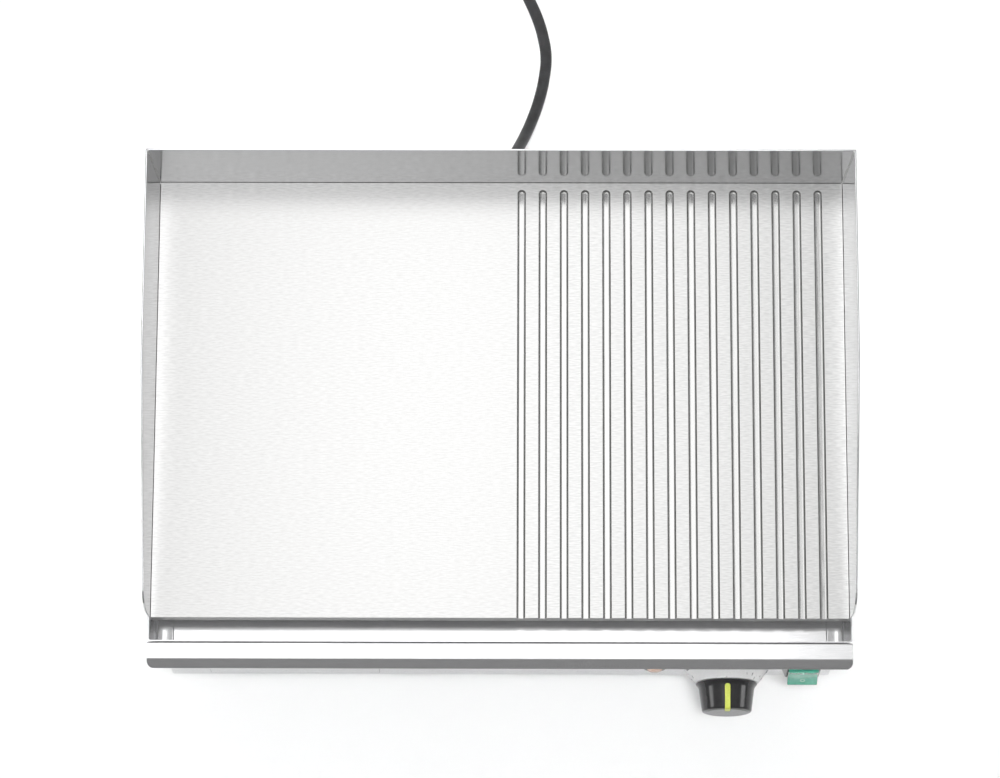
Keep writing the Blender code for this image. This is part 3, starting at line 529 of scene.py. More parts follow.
def turned(profile, centre, direction, steps=96, shape=None):
    """Turns (radius, distance) points in millimetres about a line through centre.

    A profile that doesn't begin on the axis closes on itself. shape(angle, distance)
    is added to the radius, for flutes and flats.
    """
    turn = Vector(UP).rotation_difference(Vector(direction)).to_matrix()
    bm = bmesh.new()
    rows = []
    for radius, distance in profile:
        row = []
        for step in range(steps if radius > 0 else 1):
            angle = 2 * math.pi * step / steps
            reach = radius
            if shape and radius > 0:
                reach += shape(angle, distance)
            local = Vector((reach * math.cos(angle), reach * math.sin(angle), distance))
            row.append(bm.verts.new(centre + turn @ local * MM))
        rows.append(row)
    pairs = list(zip(rows, rows[1:]))
    if profile[0][0] > 0:
        pairs.append((rows[-1], rows[0]))
    for near, far in pairs:
        for i in range(steps):
            j = (i + 1) % steps
            if len(near) == 1:
                bm.faces.new((near[0], far[j], far[i]))
            elif len(far) == 1:
                bm.faces.new((near[i], near[j], far[0]))
            else:
                bm.faces.new((near[i], near[j], far[j], far[i]))
    return settled(bm)


def rod(radius, start, end):
    return [(0, start), (radius, start), (radius, end), (0, end)]


def arc(centre, radius, start, end, steps):
    """Points of an arc, its angles in degrees."""
    points = []
    for step in range(steps + 1):
        angle = math.radians(start + (end - start) * step / steps)
        points.append((centre[0] + radius * math.cos(angle), centre[1] + radius * math.sin(angle)))
    return points


def rounded(path, radius, steps=4):
    """The path with each inner corner turned into an arc; radius may be a list."""
    points = [Vector(point) for point in path]
    radii = radius if isinstance(radius, (list, tuple)) else [radius] * (len(points) - 2)
    result = [tuple(points[0])]
    for before, corner, after, r in zip(points, points[1:], points[2:], radii):
        into = (corner - before).normalized()
        out = (after - corner).normalized()
        turn = into.angle_signed(out)
        reach = r * math.tan(abs(turn) / 2)
        start = corner - into * reach
        side = Vector((into.y, -into.x)) if turn > 0 else Vector((-into.y, into.x))
        centre = start + side * r
        arm = start - centre
        for step in range(steps + 1):
            angle = -turn * step / steps
            cos, sin = math.cos(angle), math.sin(angle)
            result.append((centre.x + arm.x * cos - arm.y * sin, centre.y + arm.x * sin + arm.y * cos))
    return [*result, tuple(points[-1])]


def sheet_outline(path, thickness):
    """The closed outline of a folded sheet whose middle follows path."""
    points = [Vector(point) for point in path]
    left, right = [], []
    for i, point in enumerate(points):
        before = (point - points[i - 1]).normalized() if i else None
        after = (points[i + 1] - point).normalized() if i < len(points) - 1 else None
        before = before or after
        after = after or before
        bisector = (before + after).normalized()
        normal = Vector((-bisector.y, bisector.x)) * (thickness / 2 / bisector.dot(after))
        left.append(tuple(point + normal))
        right.append(tuple(point - normal))
    return left + right[::-1]


def rounded_rectangle(low, high, radius, steps):
    """(a, b, angle) points round a rectangle with round corners, the angles in degrees."""
    left, near = low[0] + radius, low[1] + radius
    right, far = high[0] - radius, high[1] - radius
    points = []
    for corner, start in (((right, far), 0), ((left, far), 90), ((left, near), 180), ((right, near), 270)):
        for index, (a, b) in enumerate(arc(corner, radius, start, start + 90, steps)):
            points.append((a, b, start + 90 * index / steps))
    return points


def slot_outline(centre_a, centre_b, half_a, half_b):
    """A slot with round ends, its length along the second axis."""
    straight = half_b - half_a
    top = arc((centre_a, centre_b + straight), half_a, 0, 180, 10)
    return top + arc((centre_a, centre_b - straight), half_a, 180, 360, 10)


def as_object(bm, name="tool"):
    mesh = bpy.data.meshes.new(name)
    bm.to_mesh(mesh)
    bm.free()
    obj = bpy.data.objects.new(name, mesh)
    bpy.context.scene.collection.objects.link(obj)
    return obj


def carved(bm, *others, operation="DIFFERENCE"):
    """The mesh after a Boolean with each of the others."""
    target = as_object(bm)
    tools = [as_object(other) for other in others]
    for tool in tools:
        modifier = target.modifiers.new("Boolean", "BOOLEAN")
        modifier.operation = operation
        modifier.solver = "EXACT"
        modifier.object = tool
    graph = bpy.context.evaluated_depsgraph_get()
    result = bmesh.new()
    result.from_object(target, graph)
    for obj in (target, *tools):
        mesh = obj.data
        bpy.data.objects.remove(obj)
        bpy.data.meshes.remove(mesh)
    return settled(result)


def merged(*parts):
    """Several meshes as one, left as separate shells."""
    whole = bmesh.new()
    for part in parts:
        mesh = bpy.data.meshes.new("part")
        part.to_mesh(mesh)
        part.free()
        whole.from_mesh(mesh)
        bpy.data.meshes.remove(mesh)
    return whole


def bevelled(bm, edges, width, segments, clamp=False):
    """Rounds the edges; with clamp, narrower where faces are too small."""
    shape = {"offset": width * MM, "offset_type": "OFFSET", "segments": segments, "profile": 0.5}
    bmesh.ops.bevel(bm, geom=edges, affect="EDGES", clamp_overlap=clamp, **shape)
    return bm


def softened(bm, width, segments=2, sharper_than=30):
    """Rounds the sharp edges, after joining faces that lie in one plane."""
    bmesh.ops.remove_doubles(bm, verts=bm.verts, dist=0.000002)
    bmesh.ops.dissolve_limit(bm, angle_limit=math.radians(0.6), verts=bm.verts, edges=bm.edges)
    limit = math.radians(sharper_than)
    sharp = [e for e in bm.edges if e.is_manifold and e.calc_face_angle() > limit]
    return bevelled(bm, sharp, width, segments, clamp=True)


def piece(name, bm, paint, body="root", stands_for=(), smooth_below=50):
    """A finished piece of the object, riding on its body."""
    obj = as_object(settled(bm), name)
    obj.data.shade_smooth()
    obj.data.set_sharp_from_angle(angle=math.radians(smooth_below))
    normals = obj.modifiers.new("Normals", "WEIGHTED_NORMAL")
    normals.keep_sharp = True
    obj.data.materials.append(paint.material)
    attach(obj, body)
    if stands_for:
        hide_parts(*stands_for)
    return obj


# Griddle plate

GROOVES = 15
GROOVE_PITCH = 16.67
GROOVE_FIRST_X = 16.2
GROOVE_HALF = 3.1
GROOVE_HALF_BOTTOM = 1.65
GROOVE_DEPTH = 2.4
GROOVE_LIP = 0.3
GROOVE_END = 341.1


def groove_profile():
    """(distance from the middle, height) from the lip's flat edge to the bottom."""
    corner = GROOVE_HALF - 0.15 - GROOVE_HALF_BOTTOM
    lip = arc((GROOVE_HALF + GROOVE_LIP, -GROOVE_LIP), GROOVE_LIP, 90, 180, 4)
    bowl = arc((GROOVE_HALF_BOTTOM, corner - GROOVE_DEPTH), corner, 0, -90, 8)
    return [*lip, *bowl, (0.8, -GROOVE_DEPTH), (0, -GROOVE_DEPTH)]


def add_griddle_plate():
    """The plate with its ribs: a top face whose outline runs round every groove."""
    bm = bmesh.new()
    low = plate_low.z / MM
    left, right = plate_low.x / MM, plate_high.x / MM
    back = (plate_high.y - plate_low.y) / MM
    profile = groove_profile()
    front_edge = [bm.verts.new(at(left, 0, TOP))]
    outline = []
    for index in range(GROOVES):
        x = GROOVE_FIRST_X + GROOVE_PITCH * index
        front, end = add_groove(bm, x, profile)
        front_edge += front
        outline += end
    front_edge.append(bm.verts.new(at(right, 0, TOP)))
    corners = [bm.verts.new(at(x, back, TOP)) for x in (right, left)]
    bm.faces.new([front_edge[0], *outline, front_edge[-1], *corners])
    feet = [bm.verts.new(at(x, d, low)) for x, d in ((left, 0), (right, 0), (right, back), (left, back))]
    bm.faces.new([*front_edge, feet[1], feet[0]]).material_index = 2
    bm.faces.new([front_edge[-1], corners[0], feet[2], feet[1]])
    bm.faces.new([corners[0], corners[1], feet[3], feet[2]])
    bm.faces.new([corners[1], front_edge[0], feet[0], feet[3]])
    bm.faces.new(feet)
    settled(bm)
    rim = [e for e in bm.edges if is_front_edge(e)]
    bevelled(bm, rim, 0.25, 2)
    plate = piece("griddle_plate_ground", bm, plate_steel(), stands_for=["griddle_plate"])
    plate.data.materials.append(groove_steel().material)
    plate.data.materials.append(cut_steel().material)


def is_front_edge(edge):
    at_front = all(abs(v.co.y - PLATE_FRONT) < 1e-6 for v in edge.verts)
    above = all(v.co.z > plate_low.z + MM for v in edge.verts)
    faces_front = [abs(f.normal.y) > 0.99 for f in edge.link_faces]
    upright = all(abs(abs(v.co.x) - plate_high.x) < 1e-6 for v in edge.verts)
    return at_front and above and any(faces_front) and not all(faces_front) and not upright


def milled(face):
    """Marks a face for the grooves' own steel."""
    face.material_index = 1


def add_groove(bm, x, profile):
    """One groove. Gives its points on the front edge, and its lip as seen from above."""
    across = [(-r, z) for r, z in profile] + [(r, z) for r, z in reversed(profile[:-1])]
    front = [bm.verts.new(at(x + r, 0, TOP + z)) for r, z in across]
    inner = [bm.verts.new(at(x + r, GROOVE_END, TOP + z)) for r, z in across]
    for i in range(len(across) - 1):
        milled(bm.faces.new((front[i], front[i + 1], inner[i + 1], inner[i])))
    count = len(profile)
    pole = inner[count - 1]
    turns = 28
    fans = [inner[:count]]
    for step in range(1, turns):
        angle = math.pi * (1 - step / turns)
        cos, sin = math.cos(angle), math.sin(angle)
        ring = [bm.verts.new(at(x + r * cos, GROOVE_END + r * sin, TOP + z)) for r, z in profile[:-1]]
        fans.append([*ring, pole])
    fans.append(inner[: count - 2 : -1])
    for near, far in zip(fans, fans[1:]):
        for i in range(count - 2):
            milled(bm.faces.new((near[i], near[i + 1], far[i + 1], far[i])))
        milled(bm.faces.new((near[count - 2], pole, far[count - 2])))
    return front, [front[0], *[fan[0] for fan in fans], front[-1]]


# Splash guard

SPLASH_FLARE = 4.9
WELD_INSET = 0.7
WELD_RADIUS = 1.25


def add_splash_guard():
    """The three walls with rounded edges, and the ground weld up each rear corner."""
    for node, grain in (("splash_back", "X"), ("splash_left", "Y"), ("splash_right", "Y")):
        bm = bmesh.new()
        bm.from_mesh(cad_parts[node].data)
        softened(bm, 0.42, 3, 12)
        piece(node + "_sheet", bm, bright_stainless(grain), stands_for=[node])
    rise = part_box("splash_back")[1].z - PLATE_TOP
    for word, side in (("left", -1), ("right", 1)):
        foot = Vector((side * plate_high.x, plate_high.y, PLATE_TOP))
        outwards = Vector((side, 1, 0))
        start = foot + outwards * WELD_INSET * MM
        end = foot + outwards * (SPLASH_FLARE + WELD_INSET) * MM + Vector((0, 0, rise - 0.2 * MM))
        bm = turned(weld_profile((end - start).length / MM), start, end - start, 16)
        piece(f"corner_weld_{word}", bm, weld_steel())


def weld_profile(length):
    """A thin bead with shallow ripples."""
    profile = [(0, 0)]
    count = round(length / 0.8)
    for index in range(count):
        radius = WELD_RADIUS + 0.05 * math.sin(index * 1.9)
        profile.append((radius, length * (index + 0.5) / count))
    return [*profile, (0, length)]


# Grease gutter and front rim

SHEET = 1.2
GUTTER_SHEET = 1
PAST_BOTH_SIDES = (-280, 280)
GUTTER_FRONT = -15.6
GUTTER_BACK = 20
GUTTER_FLOOR = 24.5
GUTTER_HALF_FLOOR = 265.2
GUTTER_HALF_TOP = 270.8
GUTTER_END_BEND = 7.0
GUTTER_SIDE_BEND = 2.2
GUTTER_CORNER = 1.6
DRAIN_X = -165
DRAIN_DEPTH = 13
DRAIN_RADIUS = 6


def gutter_ring(half, inset, z):
    """The trough's outline at a height, inset from its long sides."""
    low, high = (-half, GUTTER_FRONT + inset), (half, GUTTER_BACK - inset)
    return [at(a, b, z) for a, b, _ in rounded_rectangle(low, high, GUTTER_CORNER, 5)]


def gutter_shell(grow, top, floor):
    """Rings of the trough: its foot bent up with a wide radius at the two ends."""
    rings = []
    steps = 6
    for step in range(steps + 1):
        angle = math.radians(90 * step / steps)
        share = 1 - math.sin(angle)
        height = GUTTER_SIDE_BEND * (1 - math.cos(angle))
        half = GUTTER_HALF_FLOOR + grow - GUTTER_END_BEND * share
        rings.append(gutter_ring(half, GUTTER_SIDE_BEND * share - grow, floor + height))
    rings.append(gutter_ring(GUTTER_HALF_TOP + grow, -grow, top))
    return loft(rings)


def add_grease_gutter():
    floor = TOP - GUTTER_FLOOR
    top = plate_low.z / MM - 0.3
    outer = gutter_shell(GUTTER_SHEET, top, floor - GUTTER_SHEET)
    inner = gutter_shell(0, top + 0.02, floor)
    above = box(PAST_BOTH_SIDES, (GUTTER_FRONT - 9, GUTTER_BACK + 9), (top - 0.01, top + 9))
    centre = at(DRAIN_X, DRAIN_DEPTH, floor)
    spout = turned(rod(DRAIN_RADIUS + GUTTER_SHEET, -12, -GUTTER_SHEET / 2), centre, UP, 48)
    body = carved(outer, spout, operation="UNION")
    drain = turned(rod(DRAIN_RADIUS, -20, 5), centre, UP, 48)
    body = carved(body, inner, above, drain)
    laps = [gutter_lap(side, floor) for side in (-1, 1)]
    body = carved(body, *laps, operation="UNION")
    softened(body, 0.22, 3, 40)
    piece("grease_gutter_trough", body, gutter_stainless(), "root", ["grease_gutter"], 40)


def gutter_lap(side, floor):
    """The edge of the end piece, lapped on the floor and pressed into a low ridge."""
    section = [(259.2, -0.5), (259.2, 0.5), (254.6, 0.5), (254, 0.9)]
    section += [(253.2, 0.9), (252.6, 0.4), (252.2, -0.5)]
    outline = [(side * x, floor + height) for x, height in section]
    return prism(outline, "Y", GUTTER_FRONT + 1.4, GUTTER_BACK - 1.4)


RIM_EDGE = -29.8
RIM_NOSE = -37
RIM_NOSE_DROP = 15.7
RIM_CORNER = 6
RIM_BENDS = [0.95, 1.1]


def add_front_rim():
    """The visor: a flange behind, the flat on top and the slanted front, from one sheet."""
    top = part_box("front_rim")[1].z / MM
    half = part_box("front_rim")[1].x / MM
    middle_z = top - SHEET / 2
    back = GUTTER_FRONT - 1.3 - SHEET / 2
    nose_z = TOP - RIM_NOSE_DROP
    path = [(back, top - 12), (back, middle_z), (RIM_EDGE, middle_z), (RIM_NOSE + SHEET / 2, nose_z)]
    bm = prism(sheet_outline(rounded(path, RIM_BENDS, 6), SHEET), "X", -half, half)
    cutters = [rim_corner(side, half, nose_z, top) for side in (-1, 1)]
    bm = carved(bm, *cutters)
    softened(bm, 0.25, 2, 40)
    piece("front_rim_visor", bm, stainless("X"), "root", ["front_rim"], 40)


def rim_corner(side, half, nose_z, top):
    """The waste outside the round lower corner of the slanted front."""
    squash = 0.8
    centre_x = half - RIM_CORNER
    centre_depth = RIM_NOSE + RIM_CORNER * squash
    low = RIM_NOSE - 2
    outline = []
    for x, y in arc((0, 0), RIM_CORNER, 0, 90, 12):
        outline.append((side * (centre_x + x), centre_depth - y * squash))
    outline += [(side * centre_x, low), (side * (half + 1), low), (side * (half + 1), centre_depth)]
    return prism(outline, "Z", nose_z - 6, top + 1)


# Body panels

BODY_HALF = 261.5
BODY_BOTTOM = 44
BODY_TOP = 161.6
SIDE_SHEET = 1
FLANGE = 15
TRAY_ROOM = (-230.1, -95.9)
TRAY_OPENING_Z = (49.9, 84.1)
TRAY_X = (-228, -98)
TRAY_Z = (53, 80)
TRAY_FRONT_X = (-229.95, -96.05)
TRAY_FRONT_Z = (50.05, 83.95)
THUMB_NOTCH = 13
LAMP_HOLE = 7.5
SHAFT_HOLE = 5.5
SWITCH_HOLE_HALF = (14, 16.5)
SLEEVE_HOLE = 8.4
RESET_HOLE = 5.4
VENT_HALF = (2.5, 25)
SIDE_VENTS = [150 + 20 * index for index in range(8)]
REAR_VENTS = [110 + 18 * index for index in range(7)]


def add_control_panel():
    back = depth_of(panel_high)
    top = panel_high.z / MM
    inside = BODY_HALF - SHEET
    bm = box((-BODY_HALF, BODY_HALF), (FACE, back), (BODY_BOTTOM, top))
    upright = [e for e in bm.edges if abs(e.verts[0].co.z - e.verts[1].co.z) > 10 * MM]
    front = [e for e in upright if e.verts[0].co.y < PANEL_FACE + MM]
    bevelled(bm, front, 1.8, 5)
    hollow = box((-inside, inside), (FACE + SHEET, back + 5), (BODY_BOTTOM + SHEET, top + 5))
    gutter_room = box(PAST_BOTH_SIDES, (FACE + SHEET, back + 5), (TOP - GUTTER_FLOOR - 4, top + 5))
    tools = [hollow, gutter_room]
    z = CONTROLS_Z / MM
    for x, radius in ((LAMP_X / MM, LAMP_HOLE), (KNOB_X / MM, SHAFT_HOLE)):
        tools.append(turned(rod(radius, -5, 5), at(x, FACE, z), BACKWARD, 48))
    through = (FACE - 2, FACE + 4)
    x = SWITCH_X / MM
    half_x, half_z = SWITCH_HOLE_HALF
    tools.append(box((x - half_x, x + half_x), through, (z - half_z, z + half_z)))
    tools.append(box(TRAY_ROOM, through, TRAY_OPENING_Z))
    bm = carved(bm, *tools)
    softened(bm, 0.3, 2, 40)
    piece("control_panel_sheet", bm, stainless("X"), "root", ["control_panel"], 35)


def add_side_panel(word, side):
    """A channel with rolled corners, notched for the gutter and slotted for air."""
    outer = BODY_HALF - SIDE_SHEET / 2
    inner = outer - FLANGE
    top = BODY_TOP - SIDE_SHEET / 2
    bottom = BODY_BOTTOM + SIDE_SHEET * 1.5
    path = [(side * x, z) for x, z in ((inner, top), (outer, top), (outer, bottom), (inner, bottom))]
    name = f"{word}_side_panel"
    start, end = [depth_of(corner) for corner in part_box(name)]
    bm = prism(sheet_outline(rounded(path, 2.2, 5), SIDE_SHEET), "Y", start, end)
    reach = sorted((side * (inner - 5), side * (BODY_HALF + 5)))
    tools = [box(reach, (start - 5, GUTTER_BACK + 2), (TOP - GUTTER_FLOOR - 4, BODY_TOP + 5))]
    low_x, high_x = sorted((side * (outer - 3), side * (outer + 3)))
    for depth in SIDE_VENTS:
        tools.append(prism(slot_outline(depth, 100, *VENT_HALF), "X", low_x, high_x))
    bm = carved(bm, *tools)
    softened(bm, 0.22, 2, 40)
    piece(name + "_sheet", bm, stainless("Y"), "root", [name], 35)


def rear_point(node):
    """Where a fitting's middle line goes through the rear panel."""
    place = middle(node)
    place.y = BODY_BACK
    return place


def add_rear_panel():
    bm = box((-BODY_HALF, BODY_HALF), (BACK - SHEET, BACK), (BODY_BOTTOM, BODY_TOP - 1))
    tools = []
    for side in (-1, 1):
        for x in REAR_VENTS:
            tools.append(prism(slot_outline(side * x, 105, *VENT_HALF), "Y", BACK - 5, BACK + 5))
    for node, radius in (("strain_relief", SLEEVE_HOLE), ("reset_button", RESET_HOLE)):
        tools.append(turned(rod(radius, -5, 5), rear_point(node), BACKWARD, 48))
    bm = carved(bm, *tools)
    softened(bm, 0.3, 2, 40)
    piece("rear_panel_sheet", bm, stainless("X"), "root", ["rear_panel"], 35)


def add_drip_tray():
    """A folded tray with a thumb notch in its front, which nearly fills the panel's opening."""
    left, right = TRAY_X
    bottom, top = TRAY_Z
    back = depth_of(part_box("drip_tray")[1])
    body = box(TRAY_X, (FACE + 0.6, back), TRAY_Z)
    long_edges = [e for e in body.edges if all(v.co.z < (bottom + 1) * MM for v in e.verts)]
    bevelled(body, long_edges, 2.5, 5)
    body = carved(body, box(TRAY_FRONT_X, (FACE, FACE + SHEET), TRAY_FRONT_Z), operation="UNION")
    hollow = box((left + 1, right - 1), (FACE + SHEET + 1, back - 1), (bottom + 1, top + 10))
    low_edges = [e for e in hollow.edges if all(v.co.z < (bottom + 2) * MM for v in e.verts)]
    bevelled(hollow, low_edges, 1.8, 5)
    notch_at = at((left + right) / 2, FACE, TRAY_FRONT_Z[1])
    notch = turned(rod(THUMB_NOTCH, -5, 8), notch_at, BACKWARD, 64)
    body = carved(body, hollow, notch)
    softened(body, 0.25, 2, 40)
    piece("drip_tray_drawer", body, stainless("X"), "tray", ["drip_tray"], 35)


SCREW_HEAD = 3.6
SIDE_SCREW_LEVELS = (("low", 56), ("high", 128))
REAR_SCREW_LEVELS = (("low", 50), ("high", 154))
REAR_SCREW_COLUMNS = (-250, -84, 84, 250)


def screw_mesh():
    """A pan-head sheet screw with a cross recess, its head's foot at the origin."""
    head = [(0, 0), (SCREW_HEAD, 0), (SCREW_HEAD, 0.7)]
    head += [(SCREW_HEAD * math.cos(a), 0.7 + 1.5 * math.sin(a)) for a in (0.35, 0.7, 1.05, 1.35)]
    head.append((0, 2.2))
    body = turned(head, Vector((0, 0, 0)), UP, 40)
    slots = []
    for along, across in ((2.1, 0.42), (0.42, 2.1)):
        outline = [(-along, -across), (along, -across), (along, across), (-along, across)]
        slots.append(loft([[Vector((a, b, z)) * MM for a, b in outline] for z in (1.0, 3.0)]))
    body = carved(body, *slots)
    mesh = bpy.data.meshes.new("sheet_screw")
    body.to_mesh(mesh)
    body.free()
    mesh.shade_smooth()
    mesh.set_sharp_from_angle(angle=math.radians(40))
    mesh.materials.append(plug_nickel().material)
    return mesh


def add_screws():
    """The screws that hold the side and rear panels to the frame."""
    mesh = screw_mesh()
    places = []
    for word, side in (("left", -1), ("right", 1)):
        for level, z in SIDE_SCREW_LEVELS:
            for end, depth in (("front", 6), ("rear", BACK - 12)):
                spot = at(side * BODY_HALF, depth, z)
                places.append((f"side_screw_{word}_{end}_{level}", spot, (side, 0, 0)))
    for column, x in enumerate(REAR_SCREW_COLUMNS):
        for level, z in REAR_SCREW_LEVELS:
            places.append((f"rear_screw_{column + 1}_{level}", at(x, BACK, z), BACKWARD))
    for index, (name, spot, out) in enumerate(places):
        screw = bpy.data.objects.new(name, mesh)
        bpy.context.scene.collection.objects.link(screw)
        turn = Vector(UP).rotation_difference(Vector(out)).to_matrix().to_4x4()
        spin = Matrix.Rotation(math.radians(37 * index), 4, "Z")
        screw.matrix_world = Matrix.Translation(spot) @ turn @ spin
        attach(screw, "root")


# Controls


def panel_point(x):
    return Vector((x, PANEL_FACE, CONTROLS_Z))


def add_pilot_lamp():
    centre = panel_point(LAMP_X)
    bezel = [(0, -15), (7.2, -15), (7.2, 0.3), (7.9, 0.3), (8.3, 0.7), (8.3, 6.2)]
    bezel += arc((7.6, 6.2), 0.7, 0, 90, 4)[1:] + [(6.7, 6.9), (6.3, 6.5), (6.3, 1), (0, 1)]
    bm = turned(bezel, centre, FORWARD, 64)
    piece("pilot_lamp_collar", bm, black_plastic(), stands_for=["pilot_lamp_bezel"])
    lens = [(0, 1.3), (6, 1.3), (6, 6.8)]
    lens += [(6 * math.cos(a), 7 + 2.3 * math.sin(a)) for a in [math.radians(10 * s) for s in range(9)]]
    lens.append((0, 9.3))
    bm = turned(lens, centre, FORWARD, 96, lens_flutes)
    piece("pilot_lamp_glow_lens", bm, amber(), stands_for=["pilot_lamp_lens"])


def lens_flutes(angle, out):
    """Fine flutes round the lens, below its dome."""
    return 0.12 * math.cos(24 * angle) * (3 < out < 7.2)


def add_dial_ring():
    """The cone behind the knob, with its scale."""
    profile = [(36.4, 0.3), (37, 0.9), (36.6, 1.6), (24.9, 17.5), (24.2, 17.9), (8, 17.9), (8, 16.4)]
    profile += [(23.5, 16.4), (35, 0.3)]
    bm = turned(profile, panel_point(KNOB_X), FORWARD, 128)
    piece("dial_ring_cone", bm, silver_plastic(), stands_for=["dial_ring"])
    add_dial_scale()


DIAL_FOOT = (36.6, 1.6)
DIAL_TOP = (24.9, 17.5)
SCALE_START = 45
SCALE_STEP = 48
SCALE_END = 290
FIGURE_SIZE = 4.2
SCALE_NUMBERS = (50, 100, 150, 200, 250, 300)


def dial_place(angle, share):
    """A frame on the cone: its X clockwise, its Y up the cone and its Z outwards."""
    radius = DIAL_FOOT[0] + (DIAL_TOP[0] - DIAL_FOOT[0]) * share
    out = DIAL_FOOT[1] + (DIAL_TOP[1] - DIAL_FOOT[1]) * share
    turn = math.radians(angle)
    radial = Vector((math.sin(turn), 0, math.cos(turn)))
    clockwise = Vector((math.cos(turn), 0, -math.sin(turn)))
    slope = Vector((DIAL_TOP[0] - DIAL_FOOT[0], DIAL_TOP[1] - DIAL_FOOT[1])).normalized()
    inward = radial * slope.x + Vector(FORWARD) * slope.y
    upward = -inward
    normal = clockwise.cross(upward)
    centre = panel_point(KNOB_X) + (radial * radius + Vector(FORWARD) * out) * MM
    return Matrix.Translation(centre) @ Matrix((clockwise, upward, normal)).transposed().to_4x4()


def text_mesh(text, size, depth):
    """Generic figures as a solid mesh, centred on the origin."""
    curve = bpy.data.curves.new("figures", "FONT")
    curve.body = text
    curve.size = size * MM
    curve.extrude = depth * MM
    curve.align_x = "CENTER"
    curve.align_y = "CENTER"
    obj = bpy.data.objects.new("figures", curve)
    mesh = bpy.data.meshes.new_from_object(obj)
    bm = bmesh.new()
    bm.from_mesh(mesh)
    bmesh.ops.remove_doubles(bm, verts=bm.verts, dist=1e-6)
    bpy.data.objects.remove(obj)
    bpy.data.curves.remove(curve)
    bpy.data.meshes.remove(mesh)
    return bm


def bar(width, height, depth):
    bm = bmesh.new()
    bmesh.ops.create_cube(bm, size=MM)
    bmesh.ops.scale(bm, vec=(width, height, depth), verts=bm.verts)
    return bm


def add_dial_scale():
    """Figures every 50 degrees of heat, with ticks between them and a dot at off."""
    figures = []
    ticks = []
    for index, number in enumerate(SCALE_NUMBERS):
        angle = SCALE_START + SCALE_STEP * index
        label = text_mesh(str(number), FIGURE_SIZE, 0.12)
        label.transform(dial_place(angle, 0.4))
        figures.append(label)
        for offset, long in ((0, 2.4), (SCALE_STEP / 2, 1.5)):
            if angle + offset > SCALE_END:
                continue
            tick = bar(0.5, long, 0.24)
            tick.transform(dial_place(angle + offset, 0.78))
            ticks.append(tick)
    dot = turned(rod(0.8, -0.12, 0.12), Vector((0, 0, 0)), UP, 24)
    dot.transform(dial_place(0, 0.5))
    ticks.append(dot)
    piece("dial_figures", merged(*figures), dial_ink())
    piece("dial_ticks", merged(*ticks), dial_ink())


def pointer_outline(clearance):
    """(distance out, height) of the pointer, along the knob's top and over its face."""
    up = clearance * 3
    return (
        (21.6 - clearance, 21.9 + up),
        (24, 21.8 + up),
        (39.4 + up, 19.95 + up),
        (40.6 + up, 19.5 + up),
        (41.5 + up, 18.6 + up),
        (41.8 + up, 17.4 + up),
        (41.8 + up, 10 - clearance),
        (40.4 - clearance, 10 - clearance),
        (40.4 - clearance, 17.2 - clearance),
        (39 - clearance, 18.3 - clearance),
        (24, 20 - clearance),
        (21.6 - clearance, 20.2 - clearance),
    )


def pointer_mesh(clearance, half):
    knob = KNOB_X / MM
    z = CONTROLS_Z / MM
    outline = [(FACE - out, z + height) for out, height in pointer_outline(clearance)]
    bm = prism(outline, "X", knob - half, knob + half)
    ends = []
    for edge in bm.edges:
        low = min(v.co.y for v in edge.verts)
        high = max(v.co.y for v in edge.verts)
        along = abs(edge.verts[0].co.x - edge.verts[1].co.x) < 1e-6
        skirt_end = low > PANEL_FACE - (22.2 * MM) and along
        face_end = high < PANEL_FACE - 40 * MM and along
        low_face = all(v.co.z < CONTROLS_Z + 10.5 * MM for v in edge.verts)
        if skirt_end or (face_end and low_face):
            ends.append(edge)
    return bevelled(bm, ends, half - 0.15, 6)


def add_knob():
    profile = [(3.3, 18.3), (23.5, 18.3)]
    profile += arc((23.5, 18.75), 0.45, -90, 60, 5)[1:]
    profile += [(22.9, 20.1), (22.1, 21.3), (21.7, 22.6), (21.45, 24.2)]
    profile += [(21.45 - 1.95 * s / 6, 24.2 + 14.6 * s / 6) for s in range(1, 7)]
    profile += arc((17.7, 38.9), 1.8, 5, 85, 6)
    profile += [(17.2, 40.8), (16.6, 40.9), (16.0, 41.2), (15.2, 41.2), (0.01, 41.2), (0.01, 35), (3.3, 35)]
    bm = turned(profile, panel_point(KNOB_X), FORWARD, 128)
    bm = carved(bm, pointer_mesh(0.25, 2.35))
    softened(bm, 0.12, 2, 55)
    piece("knob_grip", bm, black_plastic(), "knob", ["knob"], smooth_below=35)
    pointer = softened(pointer_mesh(0, 2.1), 0.3, 3, 40)
    piece("knob_pointer_inlay", pointer, pointer_green(), "knob", ["knob_pointer"])


SWITCH_PIVOT = -26
SWITCH_TILT = 10.7
ROCKER_HALF = 11.7


def tilted(out, up):
    """A rocker point from its neutral place, turned to its rest position."""
    angle = math.radians(SWITCH_TILT)
    turned_out = out * math.cos(angle) - up * math.sin(angle)
    turned_up = up * math.cos(angle) + out * math.sin(angle)
    return (SWITCH_PIVOT - turned_out, CONTROLS_Z / MM + turned_up)


def rocker_face(up):
    """How far the dished face stands out at a height on the rocker."""
    return 6 + 2.2 * (up / 13.4) ** 2


def add_rocker():
    x = SWITCH_X / MM
    outline = []
    for step in range(21):
        up = 13.4 - 26.8 * step / 20
        outline.append(tilted(rocker_face(up), up))
    outline += [tilted(-2, -14)]
    outline += [tilted(*point) for point in arc((2, 0), 11.6, 211, 149, 8)]
    outline += [tilted(-2, 14)]
    bm = prism(outline, "X", x - ROCKER_HALF, x + ROCKER_HALF)
    softened(bm, 0.7, 4, 40)
    piece("switch_rocker_cap", bm, switch_green(), "rocker", ["switch_rocker"], 45)
    on_mark = rocker_bar(7.0, 0.4, 2.0)
    off_mark = rocker_ring(-7.0, 1.9, 1.25)
    piece("switch_mark_on", on_mark, switch_mark(), "rocker")
    piece("switch_mark_off", off_mark, switch_mark(), "rocker")


